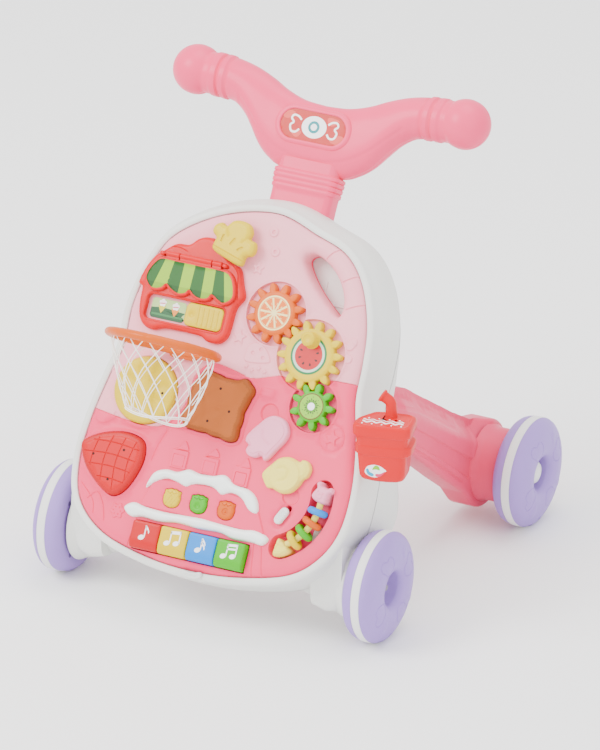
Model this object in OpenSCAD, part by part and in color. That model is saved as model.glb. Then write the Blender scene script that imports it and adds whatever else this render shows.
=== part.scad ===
// Push-along baby walker with a sloping play panel that lifts off its body.
// X runs to the right of someone facing the play panel, -Y is the front (the
// play panel's side), +Y the back, where the child walks, and Z is up.  The
// origin is on the floor, under the middle of the whole walker.

/* [Overall] */
// Lean of the play panel back from upright, degrees
panel_lean = 31; // [28:0.5:34]
// Height of the middle of the play panel above the floor
panel_height = 203.3; // [198:0.1:215]
// Place of the middle of the play panel along Y
panel_y = -133.4; // [-150:0.1:-120]
// Thickness of the walls of the two body shells
shell_wall = 3; // [2.4:0.1:4]
// Width of the white rim around the play panel
rim_width = 8; // [7:0.5:11]

/* [Wheels] */
// Diameter of every wheel
wheel_d = 114; // [95:1:118]
// Distance between the middles of the front wheels
front_track = 354; // [352:1:372]
// Distance between the middles of the rear wheels
rear_track = 382; // [380:1:400]
// Distance from the front axle to the rear axle
wheelbase = 306; // [270:1:370]
// Half width of a wheel, middle to outer face
wheel_half = 17.5; // [16:0.5:20]
// Width of the white band around a wheel
tyre_width = 9.5; // [6:0.5:14]
// Diameter of the steel axles
axle_d = 6; // [5:0.5:8]
// Gap between an axle and what turns on it, on the radius
axle_clearance = 0.05; // [0.03:0.01:0.1]

/* [Legs] */
// Thickness of a rear leg across the walker
leg_thickness = 32; // [24:1:36]
// Middle of a rear leg, from the walker's middle
leg_offset = 128; // [118:1:130]
// Diameter of the round end of a rear leg
leg_hub_d = 84; // [70:1:92]

/* [Handlebar] */
// Distance between the middles of the two end balls
grip_span = 302; // [260:1:330]
// Diameter of the end balls
grip_ball_d = 51; // [46:1:56]
// Diameter of the two arms
grip_d = 43; // [38:1:46]
// Width of the neck that carries the handlebar
neck_width = 68; // [54:1:80]
// Depth of the neck, front to back
neck_depth = 27; // [24:1:30]

/* [Play panel] */
// Thickness of the panel covers
cover_wall = 3; // [2:0.1:3.4]
// Whole depth of the play panel
panel_depth = 26; // [25.5:0.5:27]
// Gap between a moving piece and the opening it moves in
fit_gap = 0.4; // [0.3:0.05:0.6]
// Size of the teeth of the three gears, pitch diameter over tooth count
gear_module = 4.5; // [4.1:0.1:4.6]
// Thickness of the gears
gear_thickness = 9.5; // [7:0.5:11]
// Diameter of the spindles that the gears turn on
spindle_d = 6; // [4:0.5:8]
// Radius of the curved rod that carries the four beads
bead_arc_r = 55; // [53:0.5:57]
// Diameter of a bead
bead_d = 22; // [16:0.5:23]
// Diameter of the bead rod
bead_rod_d = 6.5; // [4:0.25:8]
// Outer radius of the ball hoop
hoop_r = 60; // [50:0.5:64]
// Thickness of the hoop's bar
hoop_bar_d = 11; // [8:0.5:12]
// Width of one music key
key_pitch = 31.7; // [29:0.1:32.5]

/* [Cup] */
// Width of the drinking-cup toy at its lid
cup_width = 52; // [44:1:54]
// Height of the cup without its straw
cup_height = 66; // [55:1:72]

/* [Hidden] */
$fn = 48;

eps = 0.01;
far = 600;
wheel_r = wheel_d / 2;
axle_z = wheel_r;
front_axle_y = -144;
rear_axle_y = front_axle_y + wheelbase;
axle_r = axle_d / 2;

// Heights measured from the panel's face along its normal.
rim_top = -3;
seam_h = -50;
tray_gap = 1;
tray_top = -panel_depth - tray_gap;
panel_gap = 0.8;
screw_floor_low = -101;
screw_floor_high = -57;

// The cones that carry the front axle out to the wheels.
housing_start = 98;
housing_wheel_gap = 20.5;
housing_r = 21;
housing_end_r = 41;

// Side profile of the body in the panel's own frame: [up the panel, out of it].
body_top_v = 230;
body_side = [[body_top_v, -56], [153, -54], [76, -67], [-62, -118], [-168, -51], [-190, -40], [-190, 40],
             [body_top_v, 40]];

// Outline of the play panel, right side going down and left side going up.
panel_points = [[0, 206], [48, 193], [84, 180], [108, 154], [124, 114], [129, 76], [131, 40], [142, -1],
                [149.5, -45], [148, -88], [133, -120], [104, -143], [51, -156], [0, -160], [-51, -156],
                [-104, -142], [-137, -115], [-148, -76], [-146, -30], [-138, 14], [-131, 45], [-132, 85],
                [-124, 125], [-105, 164], [-57, 194]];
handle_hole_points = [[40, 168], [50, 174.5], [68, 167], [84, 152], [93, 133], [91, 118], [79, 125],
                      [62, 139], [48, 154]];
// Line between the pale upper cover and the lower cover, left to right.
border_points = [[-200, -22], [-142, -22], [-112, -27], [-70, -27], [-48, -2], [-44, 30], [-30, 46], [-9, 45],
                 [16, 40], [35, 45], [50, 49], [64, 47], [100, 55], [200, 55]];

hat_points = [[-57, 157], [-55, 170], [-57, 176], [-50, 184], [-42, 184], [-33, 189], [-21, 189], [-14, 183],
              [-14, 175], [-7, 168], [-8, 160], [-14, 155], [-20, 146], [-38, 151]];
hat_pivot = [-31, 168];
shop_points = [[-127, 110], [-122, 106], [-121, 92], [-118, 78], [-111, 69], [-100, 66], [-85, 70], [-49, 70],
               [-39, 66], [-27, 66], [-19, 73], [-17, 84], [-16, 104], [-10, 116], [-15, 129], [-22, 144],
               [-34, 149], [-52, 166], [-63, 168], [-73, 165], [-82, 157], [-96, 155], [-109, 145],
               [-116, 139], [-123, 126]];
awning_points = [[-120, 113], [-115, 128], [-107, 140.5], [-38, 140.5], [-29, 132], [-22, 121], [-21, 111],
                 [-29, 106], [-40, 108], [-46, 113], [-54, 107], [-64, 107], [-71, 113], [-79, 107],
                 [-88, 107], [-95, 113], [-103, 107], [-113, 107]];
biscuit_points = [[-43, 0], [-41, 22], [-31, 38], [-17, 36], [0, 34], [14, 37], [25, 27], [20, 8], [19, -12],
                  [16, -26], [-3, -25], [-19, -23], [-37, -22], [-46, -12]];
strawberry_points = [[-146, -60], [-139, -52], [-122, -44], [-102, -40], [-84, -43], [-77, -52], [-77, -70],
                     [-86, -93], [-98, -104], [-111, -101], [-129, -88], [-140, -75]];
popsicle_points = [[30, -19], [38, -4], [46, 5], [55, 8], [66, 5], [72, -4], [70, -15], [58, -34], [47, -33],
                   [36, -33], [32, -27]];
candy_wing_points = [[66, -38], [57, -45], [59, -57], [68, -62], [79, -63], [92, -58], [99, -46], [98, -36],
                     [91, -31], [80, -29]];
upper_cream_points = [[-67, -89], [-62, -73], [-50, -67], [-37, -67], [-25, -62], [-13, -64], [2, -63],
                      [15, -60], [28, -67], [44, -69], [55, -77], [59, -90], [49, -89], [38, -79], [26, -76],
                      [16, -80], [6, -75], [-6, -74], [-17, -76], [-24, -80], [-36, -77], [-47, -76],
                      [-58, -82]];
lower_cream_points = [[-85, -113], [-76, -106], [-62, -108], [-40, -109], [-20, -108], [0, -107], [20, -108],
                      [44, -109], [62, -107], [77, -112], [72, -120], [60, -119.5], [40, -120.5], [24, -117],
                      [0, -118], [-24, -117], [-44, -120], [-62, -119], [-76, -120.5]];

popsicle_pivot = [51, -13];
candy_pivot = [79, -47];
pineapple_centre = [-91.5, 5.5];
pineapple_r = 34;
drum_top = 8;
drum_back = -7;
button_centres = [[-36, -94], [-6, -94], [25, -94]];
button_r = 9.5;
key_row_x = -68.8;
key_low_v = -151;
key_high_v = -122.5;
key_gap = 0.6;
key_top = 8;
switch_centre = [85, -87];
switch_tilt = 62;
switch_length = 19;
switch_width = 10;
switch_travel = 5;

// The gear train: teeth, centres and the angle of one tooth of each gear.
orange_teeth = 12;
yellow_teeth = 14;
green_teeth = 9;
yellow_centre = [74.3, 74.2];
orange_side = 144.8;
green_side = -72.1;
orange_centre = yellow_centre + gear_distance(orange_teeth) * [cos(orange_side), sin(orange_side)];
green_centre = yellow_centre + gear_distance(green_teeth) * [cos(green_side), sin(green_side)];
yellow_phase = 8;
orange_phase = meshed_phase(orange_side, orange_teeth);
green_phase = meshed_phase(green_side, green_teeth);
gear_pressure = 25;
gear_backlash = 0.7;
gear_low = -3.5;
pocket_depth = 4;
// End blocks of the bead rod: angle, height above the rod's middle, radius
rod_ends = [[8.5, 7, 8], [-61, 6, 5.2]];

bead_arc_centre = [68, -67];
bead_angles = [-9, -22, -35, -48];
bead_length = 8;
bead_height = 1;
bead_pocket_depth = 13;
bead_room = 1.5;

hinge_v = 143.5;
hinge_h = 10.8;
shop_top = 8;
slot_low = [-112.4, 76];
slot_high = [-25, 101.6];
slot_floor = 3;
slider_width = 42;

hoop_centre = [-60, 50, hoop_r + 2];
net_low_centre = [-52, -14, 38];
net_low_r = 27;
net_wall = 1;

neck_front = -42;
neck_low_v = 165;
socket_low_v = 146;
socket_high_v = 206;
socket_wall = 5;
bar_mid = -60;
bar_depth = 38;
grip_v = 336.5;

cup_centre = [182, -139];
cup_turn = 14;
cup_floor_z = 168;
cup_depth = 42;
cup_step_z = 34;
cup_taper = 0.84;
bracket_x = 147;
bracket_back = 8;
bracket_size = [13, 10];

// ---------------------------------------------------------------- helpers

// Point on a smooth curve through b and c, with neighbours a and d.
function curve_point(a, b, c, d, t) =
    0.5 * (2 * b + (c - a) * t + (2 * a - 5 * b + 4 * c - d) * t * t
           + (3 * b - a - 3 * c + d) * t * t * t);

// Closed smooth outline through the given points, each span cut in n.
function smooth(points, n = 3) =
    let (count = len(points))
    [for (i = [0 : count - 1]) for (k = [0 : n - 1])
        curve_point(points[(i + count - 1) % count], points[i], points[(i + 1) % count],
                    points[(i + 2) % count], k / n)];

// Distance from the yellow gear's middle to that of a gear it drives.
function gear_distance(teeth) = gear_module * (yellow_teeth + teeth) / 2;

// Angle of one tooth of a gear that lies on one side of the yellow gear.
function meshed_phase(side, teeth) =
    side + 180 + 180 / teeth - (yellow_phase - side) * yellow_teeth / teeth;

// Angle between an involute's start and its point at radius r, degrees.
function involute_angle(base_r, r) =
    r <= base_r ? 0 : sqrt(r * r / (base_r * base_r) - 1) * 180 / PI - acos(base_r / r);

// One flank of a tooth as [radius, half angle] pairs, root to tip.
function flank(teeth) =
    let (pitch_r = gear_module * teeth / 2,
         base_r = pitch_r * cos(gear_pressure),
         root_r = pitch_r - gear_module,
         tip_r = pitch_r + 0.8 * gear_module,
         half = 90 / teeth - gear_backlash / (4 * pitch_r) * 180 / PI,
         rise = involute_angle(base_r, pitch_r))
    [for (k = [0 : 5])
        let (r = k == 0 ? root_r : max(base_r, root_r) + (tip_r - max(base_r, root_r)) * (k - 1) / 4)
        [r, half + rise - involute_angle(base_r, r)]];

module gear_outline(teeth) {
    side = flank(teeth);
    polygon([for (tooth = [0 : teeth - 1]) for (k = [0 : 11])
        let (point = k < 6 ? side[k] : side[11 - k],
             turn = tooth * 360 / teeth + (k < 6 ? -point[1] : point[1]))
        point[0] * [cos(turn), sin(turn)]]);
}

// Stands a piece on the play panel: x across, y up the slope, z out of it.
module on_panel(place = [0, 0, 0]) {
    translate([0, panel_y, panel_height])
        rotate([90 - panel_lean, 0, 0])
            translate(place)
                children();
}

// A flat shape between two heights above the panel's face.
module slab(low, high) {
    translate([0, 0, low])
        linear_extrude(height = high - low)
            children();
}

module panel_outline(grow = 0) {
    offset(delta = grow)
        polygon(smooth(panel_points));
}

module pill(length, width) {
    square([length - width, width], center = true);
    for (side = [-1, 1])
        translate([side * (length - width) / 2, 0])
            circle(d = width);
}

module rounded_box_outline(size, r) {
    square([size[0] - 2 * r, size[1]], center = true);
    square([size[0], size[1] - 2 * r], center = true);
    for (x = [-1, 1], y = [-1, 1])
        translate([x * (size[0] / 2 - r), y * (size[1] / 2 - r)])
            circle(r = r);
}

// ---------------------------------------------------------------- body

// The wedge that the body fills, smaller all round by inset.
module body_wedge(low, high, inset = 0) {
    intersection() {
        slab(low, high)
            panel_outline(rim_width - inset);
        translate([-far / 2, 0, 0])
            rotate([90, 0, 90])
                linear_extrude(height = far)
                    offset(delta = -inset)
                        polygon(body_side);
    }
}

module neck_room(gap) {
    translate([0, 0, neck_front - neck_depth / 2])
        rotate([-90, 0, 0])
            translate([0, 0, neck_low_v])
                linear_extrude(height = 120)
                    offset(delta = gap)
                        rounded_box_outline([neck_width, neck_depth], 8);
}

// Ring that frames the play panel.
module body_front_shell() {
    color("whitesmoke") {
        difference() {
            on_panel()
                difference() {
                    slab(seam_h, rim_top)
                        panel_outline(rim_width);
                    slab(tray_top - shell_wall, 1)
                        panel_outline(panel_gap);
                    slab(seam_h - 1, tray_top - shell_wall)
                        panel_outline(rim_width - shell_wall);
                    neck_room(0.2);
                    latch_block(fit_gap, 10);
                }
            for (side = [-1, 1])
                leg_solid(side, 0.2);
        }
        cup_bracket();
    }
}

// Floor behind the play panel, with the posts of the frame screws.
module body_tray() {
    color("whitesmoke")
        on_panel() {
            slab(tray_top - shell_wall, tray_top)
                panel_outline(panel_gap);
            screw_posts();
        }
}

// Cone that carries the front axle out to a wheel, smaller all round by inset.
module axle_housing(side, inset = 0) {
    reach = front_track / 2 - housing_start - housing_wheel_gap;
    translate([side * (housing_start + inset), front_axle_y, axle_z])
        rotate([0, side * 90, 0])
            cylinder(h = reach - 2 * inset, r1 = housing_r - inset, r2 = housing_end_r - inset);
}

module body_rear_shell() {
    color("whitesmoke")
        difference() {
            union() {
                on_panel() {
                    body_wedge(-140, seam_h);
                    neck_socket();
                }
                for (side = [-1, 1])
                    axle_housing(side);
            }
            on_panel() {
                body_wedge(-140, seam_h + 1, shell_wall);
                neck_room(0.2);
                slab(seam_h, 40)
                    panel_outline(rim_width);
            }
            for (side = [-1, 1]) {
                axle_housing(side, shell_wall);
                leg_solid(side, 0.2);
            }
            translate([0, front_axle_y, axle_z])
                rotate([0, 90, 0])
                    cylinder(h = front_track, r = axle_r, center = true);
            frame_screw_places() {
                cylinder(h = 30, r = 1.6, center = true);
                translate([0, 0, -20])
                    cylinder(h = 20, r = 3.4);
            }
        }
}

// Box at the back of the body's top that the neck plugs into.
module neck_socket() {
    depth = neck_depth + socket_wall + neck_front - seam_h + 20;
    translate([0, socket_low_v, neck_front - neck_depth - socket_wall + depth / 2])
        rotate([-90, 0, 0])
            linear_extrude(height = socket_high_v - socket_low_v)
                rounded_box_outline([neck_width + 2 * socket_wall, depth], 9);
}

module frame_screw_places() {
    on_panel()
        for (x = [-90, 90], v = [-20, 120])
            translate([x, v, v > 0 ? screw_floor_high : screw_floor_low])
                children();
}

// Posts behind the tray that the frame screws bite into.
module screw_posts() {
    for (x = [-90, 90], post = [[-20, screw_floor_low], [120, screw_floor_high]])
        translate([x, post[0], post[1] + 4])
            difference() {
                cylinder(h = tray_top - shell_wall - post[1] - 4 + eps, r = 4.5);
                translate([0, 0, -1])
                    cylinder(h = 14, r = 1.6);
            }
}

module frame_screws() {
    color("silver")
        frame_screw_places()
            union() {
                cylinder(h = 12, r = 1.6);
                translate([0, 0, -2.2])
                    cylinder(h = 2.2, r = 3.2);
            }
}

module front_axle() {
    color("silver")
        translate([0, front_axle_y, axle_z])
            rotate([0, 90, 0])
                cylinder(h = front_track + 14, r = axle_r, center = true);
}

module rear_axles() {
    color("silver")
        for (side = [-1, 1])
            translate([side * (leg_offset + 2), rear_axle_y, axle_z])
                rotate([0, side * 90, 0])
                    cylinder(h = rear_track / 2 - leg_offset - 2 + 7, r = axle_r);
}

// Side view of a leg as [Y, Z]: a sloping beam that ends in a round hub.
module leg_side(grow = 0) {
    offset(delta = grow)
        union() {
            translate([rear_axle_y, axle_z])
                circle(d = leg_hub_d);
            polygon([[-84, 206], [-34, 206], [20, 196], [rear_axle_y + 18, axle_z + 37],
                     [rear_axle_y - 20, axle_z - 30], [40, 96], [-34, 146], [-84, 150]]);
        }
}

module leg_solid(side, grow = 0) {
    translate([side * leg_offset - (leg_thickness / 2 + grow), 0, 0])
        rotate([90, 0, 90])
            linear_extrude(height = leg_thickness + 2 * grow)
                leg_side(grow);
}

module leg(side) {
    color("palevioletred")
        difference() {
            union() {
                leg_solid(side);
                translate([side * (leg_offset + leg_thickness / 2 - 1), rear_axle_y, axle_z])
                    rotate([0, side * 90, 0])
                        cylinder(h = rear_track / 2 - leg_offset - leg_thickness / 2 + 1 - housing_wheel_gap,
                                 r1 = leg_hub_d / 2 - 1.5, r2 = leg_hub_d / 2 - 6);
            }
            translate([side * (leg_offset + 2), rear_axle_y, axle_z])
                rotate([0, side * 90, 0])
                    cylinder(h = 100, r = axle_r);
        }
}

module left_leg() {
    leg(-1);
}

module right_leg() {
    leg(1);
}

// ---------------------------------------------------------------- handlebar

module neck() {
    color("lightpink")
        on_panel()
            intersection() {
                neck_room(0);
                slab(-120, 0)
                    translate([-60, neck_low_v])
                        square([120, 262 - neck_low_v]);
            }
}

module bar_solid() {
    half_bar = [[0, 326], [25, 327], [45, 333], [62, 343], [82, 352], [88, 347], [88, 306], [80, 300],
                [72, 288], [60, 272], [48, 265], [34, 262], [0, 262]];
    mirrored = [for (k = [len(half_bar) - 2 : -1 : 1]) [-half_bar[k][0], half_bar[k][1]]];
    slab(bar_mid - bar_depth / 2, bar_mid + bar_depth / 2)
        polygon(concat(half_bar, mirrored));
    for (side = [-1, 1]) {
        translate([side * 72, grip_v - 13, bar_mid])
            rotate([0, 90, side > 0 ? 11 : 169])
                cylinder(h = grip_span / 2 - 68, r = grip_d / 2);
        translate([side * grip_span / 2, grip_v, bar_mid])
            sphere(d = grip_ball_d);
    }
}

module handlebar_front_shell() {
    color("lightpink")
        on_panel()
            intersection() {
                bar_solid();
                slab(bar_mid, 0)
                    square(2 * far, center = true);
            }
}

module handlebar_rear_shell() {
    color("lightpink")
        on_panel()
            intersection() {
                bar_solid();
                slab(-far, bar_mid)
                    square(2 * far, center = true);
            }
}

module handle_emblem() {
    color("crimson")
        on_panel([-2, 301, bar_mid + bar_depth / 2])
            slab(0, 3)
                pill(78, 32);
}

// ---------------------------------------------------------------- wheels

// Half section of a wheel as [radius, distance from the middle].
module wheel_section() {
    tyre_half = tyre_width / 2;
    hub_r = 12;
    outer_face = [[hub_r, -8], [hub_r, 2], [16, 2], [17.5, 11], [22, 15], [30, wheel_half],
                  [0.7 * wheel_r, wheel_half - 1.5], [0.88 * wheel_r, wheel_half - 5.5],
                  [wheel_r - 0.3, tyre_half]];
    inner_face = [[wheel_r - 0.3, -tyre_half], [wheel_r - 2, -13], [0.88 * wheel_r, -16.5],
                  [0.79 * wheel_r, -18.5], [20, -18.5], [17, -8]];
    groove = [[wheel_r - 4, tyre_half], [wheel_r - 4, -tyre_half]];
    polygon(concat([[axle_r + axle_clearance, -18.5], [axle_r + axle_clearance, 6], [hub_r, 6]],
                   [for (k = [2 : len(outer_face) - 1]) outer_face[k]],
                   groove, inner_face, [[hub_r, -8], [hub_r, -18.5]]));
}

module wheel_at(side, track, y) {
    translate([side * track / 2, y, axle_z])
        rotate([0, side * 90, 0])
            children();
}

module rim(side, track, y) {
    color("plum")
        wheel_at(side, track, y)
            rotate_extrude($fn = 96)
                wheel_section();
}

module tyre(side, track, y) {
    color("ivory")
        wheel_at(side, track, y)
            difference() {
                cylinder(h = tyre_width, r = wheel_r, center = true, $fn = 96);
                cylinder(h = tyre_width + 2, r = wheel_r - 4, center = true, $fn = 96);
            }
}

module front_left_rim() {
    rim(-1, front_track, front_axle_y);
}

module front_right_rim() {
    rim(1, front_track, front_axle_y);
}

module rear_left_rim() {
    rim(-1, rear_track, rear_axle_y);
}

module rear_right_rim() {
    rim(1, rear_track, rear_axle_y);
}

module front_left_tyre() {
    tyre(-1, front_track, front_axle_y);
}

module front_right_tyre() {
    tyre(1, front_track, front_axle_y);
}

module rear_left_tyre() {
    tyre(-1, rear_track, rear_axle_y);
}

module rear_right_tyre() {
    tyre(1, rear_track, rear_axle_y);
}

// ---------------------------------------------------------------- panel covers

module handle_hole(grow = 0) {
    offset(delta = grow)
        polygon(smooth(handle_hole_points));
}

module upper_region() {
    polygon(concat(border_points, [[200, 260], [-200, 260]]));
}

module gear_pockets(grow = 0) {
    for (gear = [[orange_centre, orange_teeth], [yellow_centre, yellow_teeth], [green_centre, green_teeth]])
        translate(gear[0])
            circle(r = gear_module * (gear[1] / 2 + 0.8) + 2 + grow);
}

// Banana-shaped recess that the beads stand in.
module bead_pocket(grow = 0) {
    low = bead_arc_r - bead_d / 2 - bead_room;
    high = bead_arc_r + bead_d / 2 + bead_room;
    translate(bead_arc_centre)
        offset(delta = grow)
            polygon(concat([for (k = [0 : 15]) high * [cos(18.5 - k * 5.8), sin(18.5 - k * 5.8)]],
                           [for (k = [0 : 15]) low * [cos(k * 5.8 - 68.5), sin(k * 5.8 - 68.5)]]));
}

module key_row(grow = 0) {
    translate([key_row_x - grow, key_low_v - grow])
        square([4 * key_pitch + 2 * grow, key_high_v - key_low_v + 2 * grow]);
}

module biscuit_outline(grow = 0) {
    offset(delta = grow)
        polygon(smooth(biscuit_points));
}

module strawberry_outline(grow = 0) {
    offset(delta = grow)
        polygon(smooth(strawberry_points));
}

// Openings that go right through the covers.
module cover_openings() {
    translate(pineapple_centre)
        circle(r = pineapple_r + fit_gap);
    biscuit_outline(fit_gap);
    strawberry_outline(fit_gap);
    for (centre = button_centres)
        translate(centre)
            circle(r = button_r + fit_gap);
    key_row(fit_gap);
    for (centre = [hat_pivot, popsicle_pivot, candy_pivot])
        translate(centre)
            circle(r = 3.1);
    translate(switch_centre)
        rotate(switch_tilt)
            translate([switch_travel / 2, 0])
                pill(switch_length - 4 + switch_travel + 2 * fit_gap, switch_width - 4 + 2 * fit_gap);
    handle_hole();
}

module boss_places() {
    for (place = [[-75, 175], [10, 195], [-112, 50], [118, 5], [-135, -20], [-20, -141], [-112, -125],
                  [76, -136]])
        translate(place)
            children();
}

// Both front covers together, before they are parted along the border.
module cover_solid() {
    back = cover_wall - panel_depth + 1;
    difference() {
        union() {
            difference() {
                slab(back, 0)
                    panel_outline();
                slab(back - 1, -cover_wall)
                    panel_outline(-cover_wall);
            }
            slab(back, 0)
                handle_hole(cover_wall);
            slab(-pocket_depth - cover_wall, 0)
                gear_pockets(cover_wall);
            slab(-bead_pocket_depth - cover_wall, 0)
                bead_pocket(cover_wall);
            slab(back, -cover_wall)
                boss_places()
                    circle(r = 4);
        }
        slab(-far, far)
            cover_openings();
        slab(-pocket_depth, 1)
            gear_pockets();
        slab(-bead_pocket_depth, 1)
            bead_pocket();
        slab(back - 1, back + 13)
            boss_places()
                circle(r = 1.5);
        spindle_holes();
    }
}

module spindle_holes() {
    for (centre = [orange_centre, yellow_centre, green_centre])
        translate([centre[0], centre[1], -30])
            cylinder(h = 40, r = spindle_d / 2);
}

module panel_upper_cover() {
    color("pink")
        on_panel()
            intersection() {
                cover_solid();
                slab(-far, far)
                    upper_region();
            }
}

module panel_lower_cover() {
    color("hotpink")
        on_panel()
            difference() {
                cover_solid();
                slab(-far, far)
                    upper_region();
            }
}

module battery_room(grow = 0) {
    translate([62, 66])
        square([58 + 2 * grow, 54 + 2 * grow], center = true);
}

module panel_back_cover() {
    back = cover_wall - panel_depth + 1;
    color("pink")
        on_panel()
            difference() {
                slab(-panel_depth, back)
                    panel_outline();
                slab(-panel_depth - 1, 0)
                    handle_hole();
                slab(-panel_depth - 1, 0)
                    battery_room(fit_gap);
                slab(-panel_depth - 1, 0)
                    boss_places()
                        circle(r = 1.5);
                slab(-panel_depth - 1, back - 1.5)
                    boss_places()
                        circle(r = 3.2);
            }
}

module battery_door() {
    color("pink")
        on_panel()
            slab(-panel_depth, -panel_depth + 1.6)
                battery_room();
}

module batteries() {
    color("darkgray")
        on_panel()
            for (row = [-1, 0, 1])
                translate([37, 66 + row * 16, -15.6])
                    rotate([0, 90, 0])
                        cylinder(h = 50, r = 7.1);
}

module panel_screws() {
    back = cover_wall - panel_depth + 1;
    color("silver")
        on_panel() {
            slab(-panel_depth + 0.2, back - 1.5)
                boss_places()
                    circle(r = 3);
            slab(back - 1.5, back + 10)
                boss_places()
                    circle(r = 1.5);
        }
}

module circuit_board() {
    color("seagreen")
        on_panel()
            difference() {
                slab(-21.6, -20)
                    translate([-70, -110])
                        square([140, 120]);
                slab(-22, 0)
                    boss_places()
                        circle(r = 5);
            }
}

module speaker() {
    color("dimgray")
        on_panel([4, 84, -21.8])
            union() {
                cylinder(h = 3, r = 21);
                cylinder(h = 11, r1 = 19, r2 = 10);
            }
}

module gear_spindles() {
    color("lightpink")
        on_panel()
            for (centre = [orange_centre, yellow_centre, green_centre])
                translate([centre[0], centre[1], -pocket_depth - cover_wall])
                    cylinder(h = cover_wall + pocket_depth + 3.7, r = spindle_d / 2);
}

module cream_trims() {
    color("honeydew")
        on_panel()
            for (points = [upper_cream_points, lower_cream_points])
                slab(0, 3)
                    polygon(smooth(points));
}

module bead_rod() {
    color("khaki")
        on_panel([bead_arc_centre[0], bead_arc_centre[1], bead_height]) {
            rotate(-62)
                rotate_extrude(angle = 67)
                    translate([bead_arc_r, 0])
                        circle(d = bead_rod_d);
            for (block = rod_ends)
                rotate(block[0])
                    translate([bead_arc_r, 0, -bead_pocket_depth - bead_height])
                        cylinder(h = bead_pocket_depth + block[1], r = block[2]);
        }
}

// ---------------------------------------------------------------- shop and hoop

module shop_front() {
    slot = slot_high - slot_low;
    color("tomato")
        on_panel() {
            difference() {
                slab(0, shop_top)
                    polygon(smooth(shop_points));
                slab(slot_floor, shop_top + 1)
                    translate(slot_low)
                        square(slot);
                translate([hat_pivot[0], hat_pivot[1], 0])
                    cylinder(h = 30, r = 8);
            }
            translate([-108, hinge_v, hinge_h])
                rotate([0, 90, 0])
                    cylinder(h = 78, r = 1.2);
            for (x = [-108, -34])
                translate([x, hinge_v - 2, shop_top])
                    cube([4, 4, hinge_h - shop_top + 2]);
        }
}

module awning() {
    color("limegreen")
        on_panel()
            difference() {
                union() {
                    slab(shop_top + 0.3, shop_top + 3.3)
                        polygon(awning_points);
                    translate([-102, hinge_v, hinge_h])
                        rotate([0, 90, 0])
                            cylinder(h = 66, r = 2.5);
                    translate([-102, hinge_v - 4, shop_top + 0.3])
                        cube([66, 3, 3]);
                }
                translate([-110, hinge_v, hinge_h])
                    rotate([0, 90, 0])
                        cylinder(h = 80, r = 1.25);
            }
}

module window_slider() {
    color("gold")
        on_panel([slot_high[0] - fit_gap - slider_width, slot_low[1] + fit_gap, slot_floor + 0.2])
            cube([slider_width, slot_high[1] - slot_low[1] - 2 * fit_gap, 5.6]);
}

module chef_hat() {
    color("gold")
        on_panel() {
            slab(shop_top + 0.5, shop_top + 7.5)
                polygon(smooth(hat_points));
            translate([hat_pivot[0], hat_pivot[1], -6])
                cylinder(h = 16, r = 3);
        }
}

module hoop() {
    color("darkorange")
        on_panel() {
            translate(hoop_centre)
                rotate([90, 0, 0])
                    rotate_extrude($fn = 72)
                        translate([hoop_r - hoop_bar_d / 2, 0])
                            circle(d = hoop_bar_d, $fn = 24);
            translate([hoop_centre[0] - 14, hoop_centre[1] - hoop_bar_d / 2, 0])
                cube([28, hoop_bar_d, 6]);
        }
}

module net_cone(inset, over) {
    top_r = hoop_r - hoop_bar_d - 1 - inset;
    hull() {
        translate(hoop_centre + [0, over - 1, 0])
            rotate([90, 0, 0])
                cylinder(h = 1, r = top_r, $fn = 32);
        translate(net_low_centre - [0, over, 0])
            rotate([90, 0, 0])
                cylinder(h = 1, r = net_low_r - inset, $fn = 32);
    }
}

module net() {
    color("ivory")
        on_panel()
            difference() {
                net_cone(0, 0);
                net_cone(net_wall, 2);
            }
}

// ---------------------------------------------------------------- moving pieces

module gear(centre, teeth, phase) {
    on_panel([centre[0], centre[1], gear_low])
        difference() {
            rotate(phase)
                linear_extrude(height = gear_thickness)
                    gear_outline(teeth);
            translate([0, 0, -1])
                cylinder(h = gear_thickness - 1, r = spindle_d / 2 + axle_clearance);
        }
}

module orange_gear() {
    color("coral")
        gear(orange_centre, orange_teeth, orange_phase);
}

module yellow_gear() {
    color("yellow") {
        gear(yellow_centre, yellow_teeth, yellow_phase);
        on_panel([yellow_centre[0], yellow_centre[1] + 15, gear_low + gear_thickness - 1])
            cylinder(h = 13, r = 7.5);
    }
}

module green_gear() {
    color("yellowgreen")
        gear(green_centre, green_teeth, green_phase);
}

module pineapple_drum() {
    color("gold")
        on_panel([pineapple_centre[0], pineapple_centre[1], drum_back])
            cylinder(h = drum_top - drum_back, r = pineapple_r, $fn = 72);
}

module biscuit_drum() {
    color("peru")
        on_panel()
            slab(drum_back, drum_top + 2)
                biscuit_outline();
}

module strawberry_drum() {
    color("tomato")
        on_panel()
            slab(drum_back, drum_top)
                strawberry_outline();
}

module popsicle() {
    color("pink")
        on_panel() {
            slab(0.4, 8)
                polygon(smooth(popsicle_points));
            translate([popsicle_pivot[0], popsicle_pivot[1], -6])
                cylinder(h = 8, r = 3);
        }
}

module candy() {
    color("khaki")
        on_panel() {
            slab(0.4, 8)
                polygon(smooth(candy_wing_points));
            translate([candy_pivot[0], candy_pivot[1], -6])
                cylinder(h = 8, r = 3);
        }
}

module mode_switch() {
    color("white")
        on_panel([switch_centre[0], switch_centre[1], 0])
            rotate(switch_tilt) {
                slab(0.3, 4)
                    pill(switch_length, switch_width);
                slab(-6, 0.3)
                    pill(switch_length - 4, switch_width - 4);
            }
}

module bead(index) {
    on_panel([bead_arc_centre[0], bead_arc_centre[1], bead_height])
        rotate(bead_angles[index])
            translate([bead_arc_r, 0, 0])
                rotate([90, 0, 0])
                    difference() {
                        cylinder(h = bead_length, r = bead_d / 2, center = true);
                        cylinder(h = bead_length + 1, r = bead_rod_d / 2 + 0.3, center = true);
                    }
}

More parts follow.
